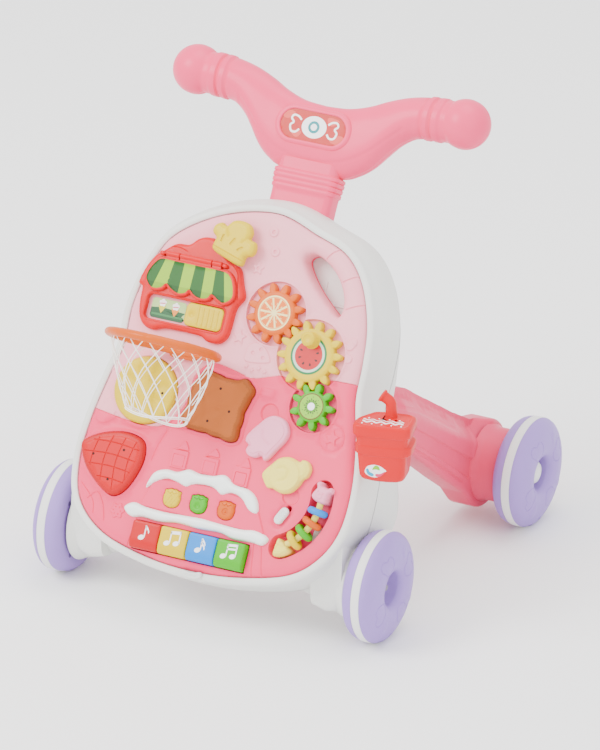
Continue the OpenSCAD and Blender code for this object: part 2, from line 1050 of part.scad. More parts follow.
module bead_1() {
    color("deepskyblue")
        bead(0);
}

module bead_2() {
    color("orange")
        bead(1);
}

module bead_3() {
    color("limegreen")
        bead(2);
}

module bead_4() {
    color("gold")
        bead(3);
}

module fruit_button(index) {
    on_panel([button_centres[index][0], button_centres[index][1], -6])
        cylinder(h = 10, r = button_r);
}

module fruit_button_1() {
    color("yellow")
        fruit_button(0);
}

module fruit_button_2() {
    color("limegreen")
        fruit_button(1);
}

module fruit_button_3() {
    color("orange")
        fruit_button(2);
}

module key(index) {
    on_panel([key_row_x + index * key_pitch + key_gap / 2, key_low_v, -6])
        cube([key_pitch - key_gap, key_high_v - key_low_v, key_top + 6]);
}

module key_1() {
    color("red")
        key(0);
}

module key_2() {
    color("yellow")
        key(1);
}

module key_3() {
    color("deepskyblue")
        key(2);
}

module key_4() {
    color("limegreen")
        key(3);
}

// The latch slides in a notch of the rim, below the panel's lower edge.
module latch_block(grow, reach) {
    translate([-8 - grow, -162 - rim_width + 1.5 - reach, -14 - grow])
        cube([24 + 2 * grow, rim_width - 3 + grow + reach, 15 + grow + reach]);
}

module panel_latch() {
    color("ivory")
        on_panel()
            latch_block(0, 0);
}

// ---------------------------------------------------------------- cup

module at_cup() {
    translate([cup_centre[0], cup_centre[1], cup_floor_z])
        rotate(cup_turn)
            children();
}

// Lug on the side of the body that the cup's slot drops over.
module cup_bracket() {
    translate([bracket_x, cup_centre[1] + bracket_back, cup_floor_z + 26])
        cube([bracket_size[0], bracket_size[1], 20]);
}

module cup() {
    color("red")
        at_cup()
            difference() {
                union() {
                    linear_extrude(height = cup_step_z + 1, scale = 1 / cup_taper)
                        rounded_box_outline([(cup_width - 3) * cup_taper, (cup_depth - 3) * cup_taper], 9);
                    translate([0, 0, cup_step_z])
                        linear_extrude(height = cup_height - cup_step_z)
                            rounded_box_outline([cup_width, cup_depth], 11);
                    translate([4, 0, cup_height - 2])
                        cylinder(h = 16, r = 6);
                    translate([4, 0, cup_height + 14])
                        rotate([0, -58, 0])
                            cylinder(h = 17, r = 6);
                    translate([4, 0, cup_height + 14])
                        sphere(r = 6);
                }
                rotate(-cup_turn)
                    translate([bracket_x - 40 - cup_centre[0], bracket_back - fit_gap, -1])
                        cube([bracket_size[0] + 40 + fit_gap, bracket_size[1] + 2 * fit_gap, 47 + fit_gap]);
            }
}

body_front_shell();
body_tray();
body_rear_shell();
left_leg();
right_leg();
neck();
handlebar_front_shell();
handlebar_rear_shell();
handle_emblem();
front_axle();
rear_axles();
frame_screws();
front_left_rim();
front_right_rim();
rear_left_rim();
rear_right_rim();
front_left_tyre();
front_right_tyre();
rear_left_tyre();
rear_right_tyre();
panel_upper_cover();
panel_lower_cover();
panel_back_cover();
cream_trims();
bead_rod();
shop_front();
hoop();
net();
gear_spindles();
circuit_board();
speaker();
batteries();
battery_door();
panel_screws();
awning();
window_slider();
chef_hat();
pineapple_drum();
biscuit_drum();
strawberry_drum();
orange_gear();
yellow_gear();
green_gear();
popsicle();
candy();
mode_switch();
bead_1();
bead_2();
bead_3();
bead_4();
fruit_button_1();
fruit_button_2();
fruit_button_3();
key_1();
key_2();
key_3();
key_4();
panel_latch();
cup();
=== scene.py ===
"""Baby walker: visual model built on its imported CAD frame, laid out as a Blender add-on."""

import math

import bmesh
import bpy
import numpy as np
from mathutils import Matrix, Vector
from mathutils.geometry import delaunay_2d_cdt


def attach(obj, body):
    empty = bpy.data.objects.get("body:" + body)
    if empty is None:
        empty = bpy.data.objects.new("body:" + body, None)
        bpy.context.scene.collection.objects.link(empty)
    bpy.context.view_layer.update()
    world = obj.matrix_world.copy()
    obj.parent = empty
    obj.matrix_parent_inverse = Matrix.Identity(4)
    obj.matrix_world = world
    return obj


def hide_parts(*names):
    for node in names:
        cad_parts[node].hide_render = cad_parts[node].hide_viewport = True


bl_info = {
    "name": "Baby Walker",
    "version": (1, 0, 0),
    "blender": (4, 5, 0),
    "location": "3D Viewport > Sidebar > Walker",
    "description": "Builds the visual model of a push-along baby walker on its CAD frame",
    "category": "Object",
}

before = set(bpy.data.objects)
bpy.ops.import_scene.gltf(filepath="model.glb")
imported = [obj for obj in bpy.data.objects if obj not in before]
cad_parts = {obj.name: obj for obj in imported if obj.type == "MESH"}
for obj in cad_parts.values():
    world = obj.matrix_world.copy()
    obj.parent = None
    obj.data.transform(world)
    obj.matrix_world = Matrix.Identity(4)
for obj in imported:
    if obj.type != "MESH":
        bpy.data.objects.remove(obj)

COLOURS = [
    ("white", "Body white", "Colour of the two body shells", (0.72, 0.727, 0.69)),
    ("leg", "Leg pink", "Colour of the rear legs", (0.76, 0.052, 0.135)),
    ("handle", "Handle pink", "Colour of the neck and the handlebar", (0.9, 0.062, 0.17)),
    ("pale", "Pale pink", "Colour of the upper panel cover", (0.9, 0.36, 0.43)),
    ("pink", "Panel pink", "Colour of the lower panel cover", (0.9, 0.05, 0.15)),
    ("cream", "Cream", "Colour of the icing trims", (0.6, 0.7, 0.655)),
    ("red", "Shop red", "Colour of the shop front and the cup", (0.62, 0.005, 0.008)),
    ("dark_green", "Awning green", "Dark stripes of the awning", (0.018, 0.1, 0.014)),
    ("light_green", "Light green", "Light stripes of the awning", (0.26, 0.46, 0.012)),
    ("yellow", "Yellow", "Colour of the hat, slider, gear and buttons", (0.66, 0.475, 0.0015)),
    ("orange", "Orange", "Colour of the ball hoop", (0.6, 0.1, 0.003)),
    ("brown", "Biscuit brown", "Colour of the biscuit drum", (0.36, 0.09, 0.014)),
    ("berry", "Berry red", "Colour of the strawberry drum", (0.56, 0.006, 0.01)),
    ("leaf", "Leaf green", "Colour of the green gear, bead and key", (0.055, 0.38, 0.006)),
    ("sky", "Sky blue", "Colour of the blue key and bead", (0.006, 0.21, 0.66)),
    ("lolly", "Lolly pink", "Colour of the ice-lolly knob and the bear", (0.86, 0.31, 0.45)),
    ("candy", "Candy yellow", "Colour of the candy knob and the bead rod", (0.8, 0.68, 0.12)),
    ("lilac", "Lilac", "Colour of the wheels", (0.32, 0.205, 0.56)),
    ("tyre", "Tyre white", "Colour of the bands round the wheels", (0.76, 0.76, 0.75)),
]


def colour_property(label, note, value):
    return bpy.props.FloatVectorProperty(name=label, description=note, default=value, subtype="COLOR",
                                         size=3, min=0.0, max=1.0)


def length_property(label, note, value, low, high):
    return bpy.props.FloatProperty(name=label, description=note, default=value / 1000, min=low / 1000,
                                   max=high / 1000, unit="LENGTH", subtype="DISTANCE", precision=4)


class WalkerSettings(bpy.types.PropertyGroup):
    """Sizes and colours of the walker's visible pieces"""

    lean: bpy.props.FloatProperty(name="Panel lean", description="Lean of the play panel from upright",
                                  default=math.radians(31), unit="ROTATION", subtype="ANGLE")
    panel_y: length_property("Panel place", "Middle of the play panel along Y", -133.4, -150, -120)
    panel_z: length_property("Panel height", "Middle of the play panel above the floor", 203.3, 190, 220)
    grain: bpy.props.FloatProperty(name="Surface grain", description="Strength of the moulded grain",
                                   default=0.10, min=0.0, max=1.0)
    relief: bpy.props.FloatProperty(name="Relief", description="Scale of the small raised pictures",
                                    default=1.35, min=0.2, max=2.0)
    cell: length_property("Mesh cell", "Largest cell of the moulded faces", 5, 2, 12)
    string: length_property("Net string", "Thickness of the net's string", 1.0, 0.6, 2)
    floor_size: length_property("Floor size", "Width of the studio floor", 14000, 2000, 30000)


for key, label, note, value in COLOURS:
    WalkerSettings.__annotations__[key] = colour_property(label, note, value)


def settings():
    return bpy.context.scene.walker


# ---------------------------------------------------------------- materials

def plastic(name, colour, rough=0.36, coat=0.0, vary=0.035, grain=None):
    """A moulded plastic with slight colour and gloss variation and a fine grain."""
    found = bpy.data.materials.get(name)
    if found:
        return found
    material = bpy.data.materials.new(name)
    material.use_nodes = True
    tree = material.node_tree
    tree.nodes.clear()
    add = tree.nodes.new
    out = add("ShaderNodeOutputMaterial")
    body = add("ShaderNodeBsdfPrincipled")
    place = add("ShaderNodeTexCoord")
    cloud = add("ShaderNodeTexNoise")
    cloud.inputs["Scale"].default_value = 26.0
    cloud.inputs["Detail"].default_value = 4.0
    mix = add("ShaderNodeMix")
    mix.data_type = "RGBA"
    mix.inputs[6].default_value = (*[c * (1 - vary) for c in colour], 1)
    mix.inputs[7].default_value = (*[min(1, c * (1 + vary)) for c in colour], 1)
    gloss = add("ShaderNodeTexNoise")
    gloss.inputs["Scale"].default_value = 140.0
    gloss.inputs["Detail"].default_value = 3.0
    span = add("ShaderNodeMapRange")
    span.inputs["To Min"].default_value = rough - 0.05
    span.inputs["To Max"].default_value = rough + 0.07
    fine = add("ShaderNodeTexNoise")
    fine.inputs["Scale"].default_value = 1500.0
    fine.inputs["Detail"].default_value = 2.0
    bump = add("ShaderNodeBump")
    bump.inputs["Strength"].default_value = settings().grain if grain is None else grain
    bump.inputs["Distance"].default_value = 0.0001
    body.inputs["Coat Weight"].default_value = coat * 0.25
    body.inputs["Coat Roughness"].default_value = 0.12
    body.inputs["IOR"].default_value = 1.46
    body.inputs["Specular IOR Level"].default_value = 0.2
    link = tree.links.new
    for noise in (cloud, gloss, fine):
        link(place.outputs["Object"], noise.inputs["Vector"])
    link(cloud.outputs["Fac"], mix.inputs[0])
    link(mix.outputs[2], body.inputs["Base Color"])
    link(gloss.outputs["Fac"], span.inputs["Value"])
    link(span.outputs["Result"], body.inputs["Roughness"])
    link(fine.outputs["Fac"], bump.inputs["Height"])
    link(bump.outputs["Normal"], body.inputs["Normal"])
    link(body.outputs["BSDF"], out.inputs["Surface"])
    material.diffuse_color = (*colour, 1)
    return material


def metal(name, colour, rough=0.3):
    """Bare metal with fine brushed variation."""
    material = plastic(name, colour, rough, vary=0.08)
    material.node_tree.nodes["Principled BSDF"].inputs["Metallic"].default_value = 1.0
    return material


def own(key, rough=0.36, coat=0.0, shade=1.0):
    """Plastic in one of the colours of the settings, darker or lighter by shade."""
    colour = [min(1.0, c * shade) for c in getattr(settings(), key)]
    name = key if shade == 1.0 else "%s_%d" % (key, round(shade * 100))
    return plastic(name, colour, rough, coat)


# ---------------------------------------------------------------- shapes, in millimetres

class Shape:
    """Vertices, faces and the material number of each face."""

    def __init__(self):
        self.verts, self.faces, self.paint, self.count = [], [], [], 0

    def add(self, part, paint=0, place=None):
        verts, faces = np.asarray(part[0], float), part[1]
        if place is not None:
            verts = verts @ place[:3, :3].T + place[:3, 3]
        marks = part[2] if len(part) > 2 else [0] * len(faces)
        self.verts.append(verts)
        self.faces += [[self.count + i for i in face] for face in faces]
        self.paint += [paint + mark for mark in marks]
        self.count += len(verts)
        return self


def piece(name, shape, materials, body, replaces=(), sharp=38, weld=0.004):
    """Make a piece from a shape, let it ride on a body and give it its finish."""
    mesh = bpy.data.meshes.new(name)
    mesh.from_pydata((np.vstack(shape.verts) / 1000).tolist(), [], shape.faces)
    mesh.polygons.foreach_set("material_index", shape.paint)
    work = bmesh.new()
    work.from_mesh(mesh)
    bmesh.ops.remove_doubles(work, verts=work.verts, dist=weld / 1000)
    bmesh.ops.recalc_face_normals(work, faces=work.faces)
    work.to_mesh(mesh)
    work.free()
    for material in materials:
        mesh.materials.append(material)
    mesh.polygons.foreach_set("use_smooth", [True] * len(mesh.polygons))
    mesh.set_sharp_from_angle(angle=math.radians(sharp))
    obj = bpy.data.objects.new(name, mesh)
    bpy.context.scene.collection.objects.link(obj)
    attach(obj, body)
    if replaces:
        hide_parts(*replaces)
    return obj


def frame_at(origin, x_axis, y_axis):
    """4x4 matrix of a local frame given by its origin and two of its axes."""
    x_axis = np.asarray(x_axis, float) / np.linalg.norm(x_axis)
    y_axis = np.asarray(y_axis, float)
    z_axis = np.cross(x_axis, y_axis)
    z_axis /= np.linalg.norm(z_axis)
    out = np.eye(4)
    out[:3, 0], out[:3, 1], out[:3, 2], out[:3, 3] = x_axis, np.cross(z_axis, x_axis), z_axis, origin
    return out


def panel(x=0.0, v=0.0, h=0.0, turn=0.0):
    """Frame on the play panel: x across, y up the slope, z out of it, turned about z."""
    s = settings()
    up = np.array([0, math.sin(s.lean), math.cos(s.lean)])
    across = np.array([1.0, 0, 0])
    normal = np.cross(across, up)
    origin = np.array([0, s.panel_y * 1000, s.panel_z * 1000]) + x * across + v * up + h * normal
    c, n = math.cos(math.radians(turn)), math.sin(math.radians(turn))
    return frame_at(origin, c * across + n * up, c * up - n * across)


def panel_back():
    """Frame that looks at the panel from behind: x mirrored, z into the body."""
    s = settings()
    up = np.array([0, math.sin(s.lean), math.cos(s.lean)])
    return frame_at([0, s.panel_y * 1000, s.panel_z * 1000], [-1, 0, 0], up)


def smooth(points, n=6, closed=True):
    """Smooth curve through points, each span cut in n."""
    pts = np.asarray(points, float)
    count = len(pts)
    spans = count if closed else count - 1
    out = []
    for i in range(spans):
        if closed:
            a, b, c, d = pts[i - 1], pts[i], pts[(i + 1) % count], pts[(i + 2) % count]
        else:
            a, b, c, d = pts[max(i - 1, 0)], pts[i], pts[i + 1], pts[min(i + 2, count - 1)]
        for k in range(n):
            t = k / n
            out.append(0.5 * (2 * b + (c - a) * t + (2 * a - 5 * b + 4 * c - d) * t * t
                              + (3 * b - a - 3 * c + d) * t ** 3))
    if not closed:
        out.append(pts[-1])
    return np.array(out)


def circle(x, y, r, n=48):
    a = np.arange(n) * 2 * math.pi / n
    return np.c_[x + r * np.cos(a), y + r * np.sin(a)]


def pill(x, y, length, width, turn=0.0, n=14):
    """Outline of a slot with round ends."""
    reach = (length - width) / 2
    pts = []
    for side, start in ((1, -90), (-1, 90)):
        for k in range(n + 1):
            a = math.radians(start + 180 * k / n)
            pts.append([side * reach + width / 2 * math.cos(a), width / 2 * math.sin(a)])
    return turned(pts, turn) + [x, y]


def box_outline(x0, y0, x1, y1, r=2.0, n=6):
    """Outline of a rectangle with round corners."""
    pts = []
    for cx, cy, start in ((x1 - r, y0 + r, -90), (x1 - r, y1 - r, 0), (x0 + r, y1 - r, 90),
                          (x0 + r, y0 + r, 180)):
        for k in range(n + 1):
            a = math.radians(start + 90 * k / n)
            pts.append([cx + r * math.cos(a), cy + r * math.sin(a)])
    return np.array(pts)


def turned(points, degrees, scale=1.0):
    a = math.radians(degrees)
    return np.asarray(points, float) @ np.array([[math.cos(a), math.sin(a)],
                                                 [-math.sin(a), math.cos(a)]]) * scale


def star(x, y, r, inner=0.48, turn=90, points=5):
    a = np.radians(turn + np.arange(points * 2) * 180 / points)
    rr = np.where(np.arange(points * 2) % 2 == 0, r, r * inner)
    return np.c_[x + rr * np.cos(a), y + rr * np.sin(a)]


def blob(x, y, r, lobes, depth, turn=0, n=72):
    """Round outline with lobes, as of a flower or a cloud."""
    a = np.arange(n) * 2 * math.pi / n
    rr = r * (1 + depth * np.cos(lobes * (a - math.radians(turn))))
    return np.c_[x + rr * np.cos(a), y + rr * np.sin(a)]


def area_of(line):
    x, y = line[:, 0], line[:, 1]
    return 0.5 * np.sum(x * np.roll(y, -1) - np.roll(x, -1) * y)


def normals(line, closed=True):
    """Left-hand unit normals at the points of a line."""
    if closed:
        run = np.roll(line, -1, 0) - np.roll(line, 1, 0)
    else:
        run = np.gradient(line, axis=0)
    run /= np.linalg.norm(run, axis=1)[:, None] + 1e-9
    return np.c_[-run[:, 1], run[:, 0]]


def grow(line, d):
    """Outline moved outwards by d."""
    line = np.asarray(line, float)
    side = -1 if area_of(line) > 0 else 1
    return line + side * d * normals(line)


def resample(line, step, closed=True):
    line = np.asarray(line, float)
    ring = np.vstack([line, line[:1]]) if closed else line
    run = np.r_[0, np.cumsum(np.linalg.norm(np.diff(ring, axis=0), axis=1))]
    n = max(3, int(math.ceil(run[-1] / step)))
    at = np.linspace(0, run[-1], n + 1)[: n if closed else n + 1]
    return np.c_[np.interp(at, run, ring[:, 0]), np.interp(at, run, ring[:, 1])]


def distance(points, line, closed=True):
    """Distance of each point to a line."""
    a = np.asarray(line, float)
    b = np.roll(a, -1, 0) if closed else a[1:]
    a = a if closed else a[:-1]
    run = b - a
    size = (run * run).sum(1) + 1e-12
    out = np.empty(len(points))
    for i in range(0, len(points), 3000):
        p = points[i:i + 3000, None, :] - a[None]
        t = np.clip((p * run).sum(2) / size, 0, 1)
        out[i:i + 3000] = np.sqrt(((p - t[..., None] * run) ** 2).sum(2)).min(1)
    return out


def inside(points, line):
    x, y = points[:, :1], points[:, 1:]
    a, b = line, np.roll(line, -1, 0)
    crossing = (a[:, 1] > y) != (b[:, 1] > y)
    at = (b[:, 0] - a[:, 0]) * (y - a[:, 1]) / (b[:, 1] - a[:, 1] + 1e-12) + a[:, 0]
    return (crossing & (x < at)).sum(1) % 2 == 1


class Relief:
    """A raised or sunk feature of a moulded face: an area, or a stroke along a line."""

    def __init__(self, line, height, blend=0.8, stroke=None, dome=False, closed=True):
        self.line, self.height, self.blend = np.asarray(line, float), height, blend
        self.stroke, self.dome, self.closed = stroke, dome, closed
        reach = (stroke or 0) + 1.0
        self.low, self.high = self.line.min(0) - reach, self.line.max(0) + reach

    def depth_in(self, points):
        """Distance inside the feature's edge, negative outside."""
        out = np.full(len(points), -9.0)
        near = np.all((points > self.low) & (points < self.high), axis=1)
        if near.any():
            p = points[near]
            d = distance(p, self.line, self.closed)
            out[near] = self.stroke - d if self.stroke else np.where(inside(p, self.line), d, -d)
        return out

    def lift(self, points):
        t = np.clip(self.depth_in(points) / self.blend, 0, 1)
        return self.height * (np.sqrt(1 - (1 - t) ** 2) if self.dome else t * t * (3 - 2 * t))

    def seeds(self):
        """Points that the mesh needs along the feature's edge."""
        out = []
        steps = (0, 0.15, 0.4, 0.7, 1) if self.dome else (0, 0.5, 1)
        for share in steps:
            d = share * self.blend
            if self.stroke:
                gap = max(0.5, min(1.6, self.stroke * 1.5))
                base = resample(self.line, gap, self.closed)
                shift = self.stroke - d
                sides = (1, -1) if shift > 0.02 else (0,)
                for side in sides:
                    out.append(base + side * shift * normals(base, self.closed))
            else:
                base = resample(self.line, max(0.6, min(2.0, abs(self.blend))), True)
                out.append(grow(base, -d))
        pts = np.vstack(out)
        return pts[np.abs(np.round(self.depth_in(pts) / self.blend * 20) / 20) < 1.3]


def ease_edge(d, width, drop):
    """Drop of a rounded edge at distance d inside it."""
    t = np.clip(1 - d / width, 0, 1)
    return drop * (1 - np.sqrt(1 - t * t))


def plate(outline, low, top, edge=(1.5, 1.5), holes=(), reliefs=(), lines=(), cell=None, base=None,
          paint=None, part=None, bottom=True):
    """A moulded plate: flat outline with holes, rounded edges and reliefs, as vertices and faces.

    holes are outlines or (outline, edge) pairs; lines are cuts that faces keep to; base gives the
    height of the face before reliefs; paint and part give a number per face from its middle.
    """
    cell = cell or settings().cell * 1000
    outline = np.asarray(outline, float)
    rims = [(outline, edge)]
    for hole in holes:
        rims.append((np.asarray(hole[0], float), hole[1]) if isinstance(hole, tuple)
                    else (np.asarray(hole, float), edge))
    fixed, edges = [], []

    def pin(line, closed):
        start = len(fixed)
        fixed.extend(line.tolist())
        count = len(line)
        edges.extend((start + i, start + (i + 1) % count) for i in range(count if closed else count - 1))

    for line, _ in rims:
        pin(line, True)
    for line in lines:
        pin(np.asarray(line, float), False)
    free = []
    for number, (line, (width, drop)) in enumerate(rims):
        if width <= 0:
            continue
        base_line = resample(line, max(0.8, min(2.5, width)))
        for share in (0.05, 0.2, 0.42, 0.7, 1.0):
            d = share * width
            ring = grow(base_line, -d if number == 0 else d)
            free.append(ring[distance(ring, line) > 0.93 * d])
    for relief in reliefs:
        free.append(relief.seeds())
    taken, kept = set(), []
    for point in np.vstack([np.array(fixed)] + free) if free else np.array(fixed):
        slot_at = (round(point[0] / 0.28), round(point[1] / 0.28))
        if slot_at not in taken:
            taken.add(slot_at)
            kept.append(point)
    kept = np.array(kept)
    coarse = {(round(p[0] / (0.6 * cell)), round(p[1] / (0.6 * cell))) for p in kept}
    lo, hi = outline.min(0), outline.max(0)
    grid = []
    row, y = 0, lo[1]
    while y < hi[1]:
        x = lo[0] + (row % 2) * cell / 2
        while x < hi[0]:
            if (round(x / (0.6 * cell)), round(y / (0.6 * cell))) not in coarse:
                grid.append((x, y))
            x += cell
        row += 1
        y += cell * 0.87
    loose = np.vstack([kept, np.array(grid)]) if grid else kept
    solid = inside(loose, outline)
    gap = distance(loose, outline)
    for line, _ in rims[1:]:
        solid &= ~inside(loose, line)
        gap = np.minimum(gap, distance(loose, line))
    for line in lines:
        gap = np.minimum(gap, distance(loose, line, False))
    loose = loose[solid & (gap > 0.04)]
    coords = [Vector(p) for p in fixed + loose.tolist()]
    verts2, _, tris, _, _, _ = delaunay_2d_cdt(coords, edges, [], 0, 1e-5)
    flat = np.array([(v.x, v.y) for v in verts2])
    tris = np.array(tris)
    middles = flat[tris].mean(1)
    keep = inside(middles, outline)
    for line, _ in rims[1:]:
        keep &= ~inside(middles, line)
    tris, middles = tris[keep], middles[keep]
    height = np.full(len(flat), float(top)) if base is None else base(flat)
    for line, (width, drop) in rims:
        if width > 0:
            height = height - ease_edge(distance(flat, line), width, drop)
    up, down = np.zeros(len(flat)), np.zeros(len(flat))
    for relief in reliefs:
        lift = relief.lift(flat)
        up, down = np.maximum(up, lift), np.minimum(down, lift)
    height = np.maximum(height + up + down, low + 0.01)
    marks = np.zeros(len(tris), int) if paint is None else np.asarray(paint(middles), int)
    groups = np.zeros(len(tris), int) if part is None else np.asarray(part(middles), int)
    result = {}
    for group in sorted(set(groups.tolist())):
        chosen = tris[groups == group]
        shades = marks[groups == group].tolist()
        used = {}
        for i, j in np.vstack([chosen[:, [0, 1]], chosen[:, [1, 2]], chosen[:, [2, 0]]]).tolist():
            used[(i, j)] = used.get((i, j), 0) + 1
        n = len(flat)
        verts = np.vstack([np.c_[flat, height], np.c_[flat, np.full(n, float(low))]])
        faces = chosen.tolist()
        tags = list(shades)
        owner = {}
        for face, shade in zip(chosen.tolist(), shades):
            for k in range(3):
                owner[(face[k], face[(k + 1) % 3])] = shade
        for i, j in used:
            if (j, i) not in used:
                faces.append([j, i, i + n, j + n])
                tags.append(owner[(i, j)])
        if bottom:
            faces += [[c + n, b + n, a + n] for a, b, c in chosen.tolist()]
            tags += shades
        remap = np.full(2 * n, -1)
        index = sorted({i for face in faces for i in face})
        remap[index] = np.arange(len(index))
        result[group] = (verts[index], [[int(remap[i]) for i in face] for face in faces], tags)
    return result if part is not None else result[0]


def loft(rings, closed=True, caps=(True, True), paint=None):
    """Skin over rings of equal length; paint gives a number per (ring, place)."""
    rings = np.asarray(rings, float)
    count, size = rings.shape[:2]
    faces, tags = [], []
    for i in range(count - 1):
        for k in range(size if closed else size - 1):
            m = (k + 1) % size
            faces.append([i * size + k, i * size + m, (i + 1) * size + m, (i + 1) * size + k])
            tags.append(paint(i, k) if paint else 0)
    if caps[0]:
        faces.append(list(range(size))[::-1])
        tags.append(paint(0, 0) if paint else 0)
    if caps[1]:
        faces.append([(count - 1) * size + k for k in range(size)])
        tags.append(paint(count - 2, 0) if paint else 0)
    return rings.reshape(-1, 3), faces, tags


def lathe(profile, n=64, closed=False, paint=None):
    """Turn (radius, height) points about z."""
    profile = np.asarray(profile, float)
    a = np.radians(np.arange(n) * 360.0 / n)
    rings = [np.c_[r * np.cos(a), r * np.sin(a), np.full(n, z)] for r, z in profile]
    if closed:
        rings.append(rings[0])
    return loft(rings, caps=(False, False), paint=paint)


def tube(path, radius, sides=12, closed=False, flat=1.0):
    """Round bar along a path; radius may be a list; flat squeezes it across."""
    path = np.asarray(path, float)
    count = len(path)
    radius = np.broadcast_to(np.asarray(radius, float), (count,))
    run = np.roll(path, -1, 0) - np.roll(path, 1, 0) if closed else np.gradient(path, axis=0)
    run /= np.linalg.norm(run, axis=1)[:, None] + 1e-12
    side = np.cross(run[0], [0.31, 0.2, 0.93])
    rings = []
    a = np.arange(sides) * 2 * math.pi / sides
    for i in range(count):
        side = side - run[i] * (side @ run[i])
        side /= np.linalg.norm(side) + 1e-12
        other = np.cross(run[i], side)
        rings.append(path[i] + radius[i] * (np.cos(a)[:, None] * side + flat * np.sin(a)[:, None] * other))
    if closed:
        shift = int(np.argmin([np.linalg.norm(np.roll(rings[0], -s, 0) - rings[-1]) for s in range(sides)]))
        rings.append(np.roll(rings[0], -shift, 0))
        return loft(rings, caps=(False, False))
    return loft(rings)


def prism(outline, low, top):
    """Thin flat shape with upright sides."""
    line = np.asarray(outline, float)
    if area_of(line) < 0:
        line = line[::-1]
    n = len(line)
    verts = np.vstack([np.c_[line, np.full(n, float(top))], np.c_[line, np.full(n, float(low))]])
    faces = [list(range(n)), [n + i for i in range(n)][::-1]]
    faces += [[i + n, (i + 1) % n + n, (i + 1) % n, i] for i in range(n)]
    return verts, faces


def ribbon(line, width, low, top, closed=False):
    """Thin flat band along a line."""
    line = np.asarray(line, float)
    side = normals(line, closed) * width / 2
    rings = [np.r_[[list(p + s) + [top]], [list(p - s) + [top]], [list(p - s) + [low]],
                   [list(p + s) + [low]]]
             for p, s in zip(line, side)]
    if closed:
        rings.append(rings[0])
    return loft(rings, caps=(not closed, not closed))


def bump_at(x, low, high, blend=1.5):
    """1 between low and high, 0 outside, smooth at the ends."""
    rise = np.clip((x - low) / blend + 0.5, 0, 1)
    fall = np.clip((high - x) / blend + 0.5, 0, 1)
    t = np.minimum(rise, fall)
    return t * t * (3 - 2 * t)


# ---------------------------------------------------------------- outlines shared by several pieces

PANEL_POINTS = [(0, 206), (48, 193), (84, 180), (108, 154), (124, 114), (129, 76), (131, 40), (142, -1),
                (149.5, -45), (148, -88), (133, -120), (104, -143), (51, -156), (0, -160), (-51, -156),
                (-104, -142), (-137, -115), (-148, -76), (-146, -30), (-138, 14), (-131, 45), (-132, 85),
                (-124, 125), (-105, 164), (-57, 194)]
HANDLE_HOLE = [(40, 168), (50, 174.5), (68, 167), (84, 152), (93, 133), (91, 118), (79, 125), (62, 139),
               (48, 154)]
BORDER = [(-112, -27), (-70, -27), (-48, -2), (-44, 30), (-30, 46), (-9, 45), (16, 40), (35, 45), (50, 49),
          (64, 47), (100, 55)]
BISCUIT = [(-43, 0), (-41, 22), (-31, 38), (-17, 36), (0, 34), (14, 37), (25, 27), (20, 8), (19, -12),
           (16, -26), (-3, -25), (-19, -23), (-37, -22), (-46, -12)]
STRAWBERRY = [(-146, -60), (-139, -52), (-122, -44), (-102, -40), (-84, -43), (-77, -52), (-77, -70),
              (-86, -93), (-98, -104), (-111, -101), (-129, -88), (-140, -75)]
PINEAPPLE = (-91.5, 5.5, 34.0)
YELLOW_GEAR = (74.3, 74.2, 14, 8.0)
MODULE = 4.5
BEAD_CENTRE, BEAD_R = (68.0, -67.0), 55.0
BUTTONS = [(-36, -94), (-6, -94), (25, -94)]
KEY_X, KEY_PITCH, KEY_LOW, KEY_HIGH = -68.8, 31.7, -151.0, -122.5
SWITCH = (85.0, -87.0, 62.0)
FRONT_AXLE_Y, REAR_AXLE_Y, AXLE_Z = -144.0, 162.0, 57.0
# Camera, in metres and radians: where it stands, and where it aims from the middle of the front axle
CAMERA_AZIMUTH, CAMERA_ELEVATION = math.radians(27.5), math.radians(25.0)
CAMERA_DISTANCE = 10.0
AIM_RIGHT, AIM_UP = 0.0774, 0.1753


def gear_place(kind):
    """(x, v, teeth, angle of one tooth) of a gear in mesh with the yellow one."""
    x, v, teeth, phase = YELLOW_GEAR
    if kind == "yellow":
        return x, v, teeth, phase
    side, count = {"orange": (144.8, 12), "green": (-72.1, 9)}[kind]
    reach = MODULE * (teeth + count) / 2
    angle = side + 180 + 180 / count - (phase - side) * teeth / count
    return x + reach * math.cos(math.radians(side)), v + reach * math.sin(math.radians(side)), count, angle


def gear_outline(teeth, phase, backlash=0.9):
    """Outline of an involute gear about its own middle."""
    pitch = MODULE * teeth / 2
    base = pitch * math.cos(math.radians(25))
    root, tip = pitch - MODULE, pitch + 0.8 * MODULE

    def roll(r):
        if r <= base:
            return 0.0
        return math.degrees(math.sqrt(r * r / base / base - 1)) - math.degrees(math.acos(base / r))

    half = 90 / teeth - math.degrees(backlash / (4 * pitch))
    start = max(base, root)
    side = [(root, half + roll(pitch))]
    side += [(start + (tip - start) * k / 5, half + roll(pitch) - roll(start + (tip - start) * k / 5))
             for k in range(6)]
    side[-1] = (tip - 0.5, side[-1][1])
    side.append((tip, side[-1][1] * 0.75))
    pts = []
    for tooth in range(teeth):
        for r, a in [(r, -a) for r, a in side] + [(r, a) for r, a in side[::-1]]:
            at = math.radians(phase + tooth * 360 / teeth + a)
            pts.append((r * math.cos(at), r * math.sin(at)))
    return np.array(pts)


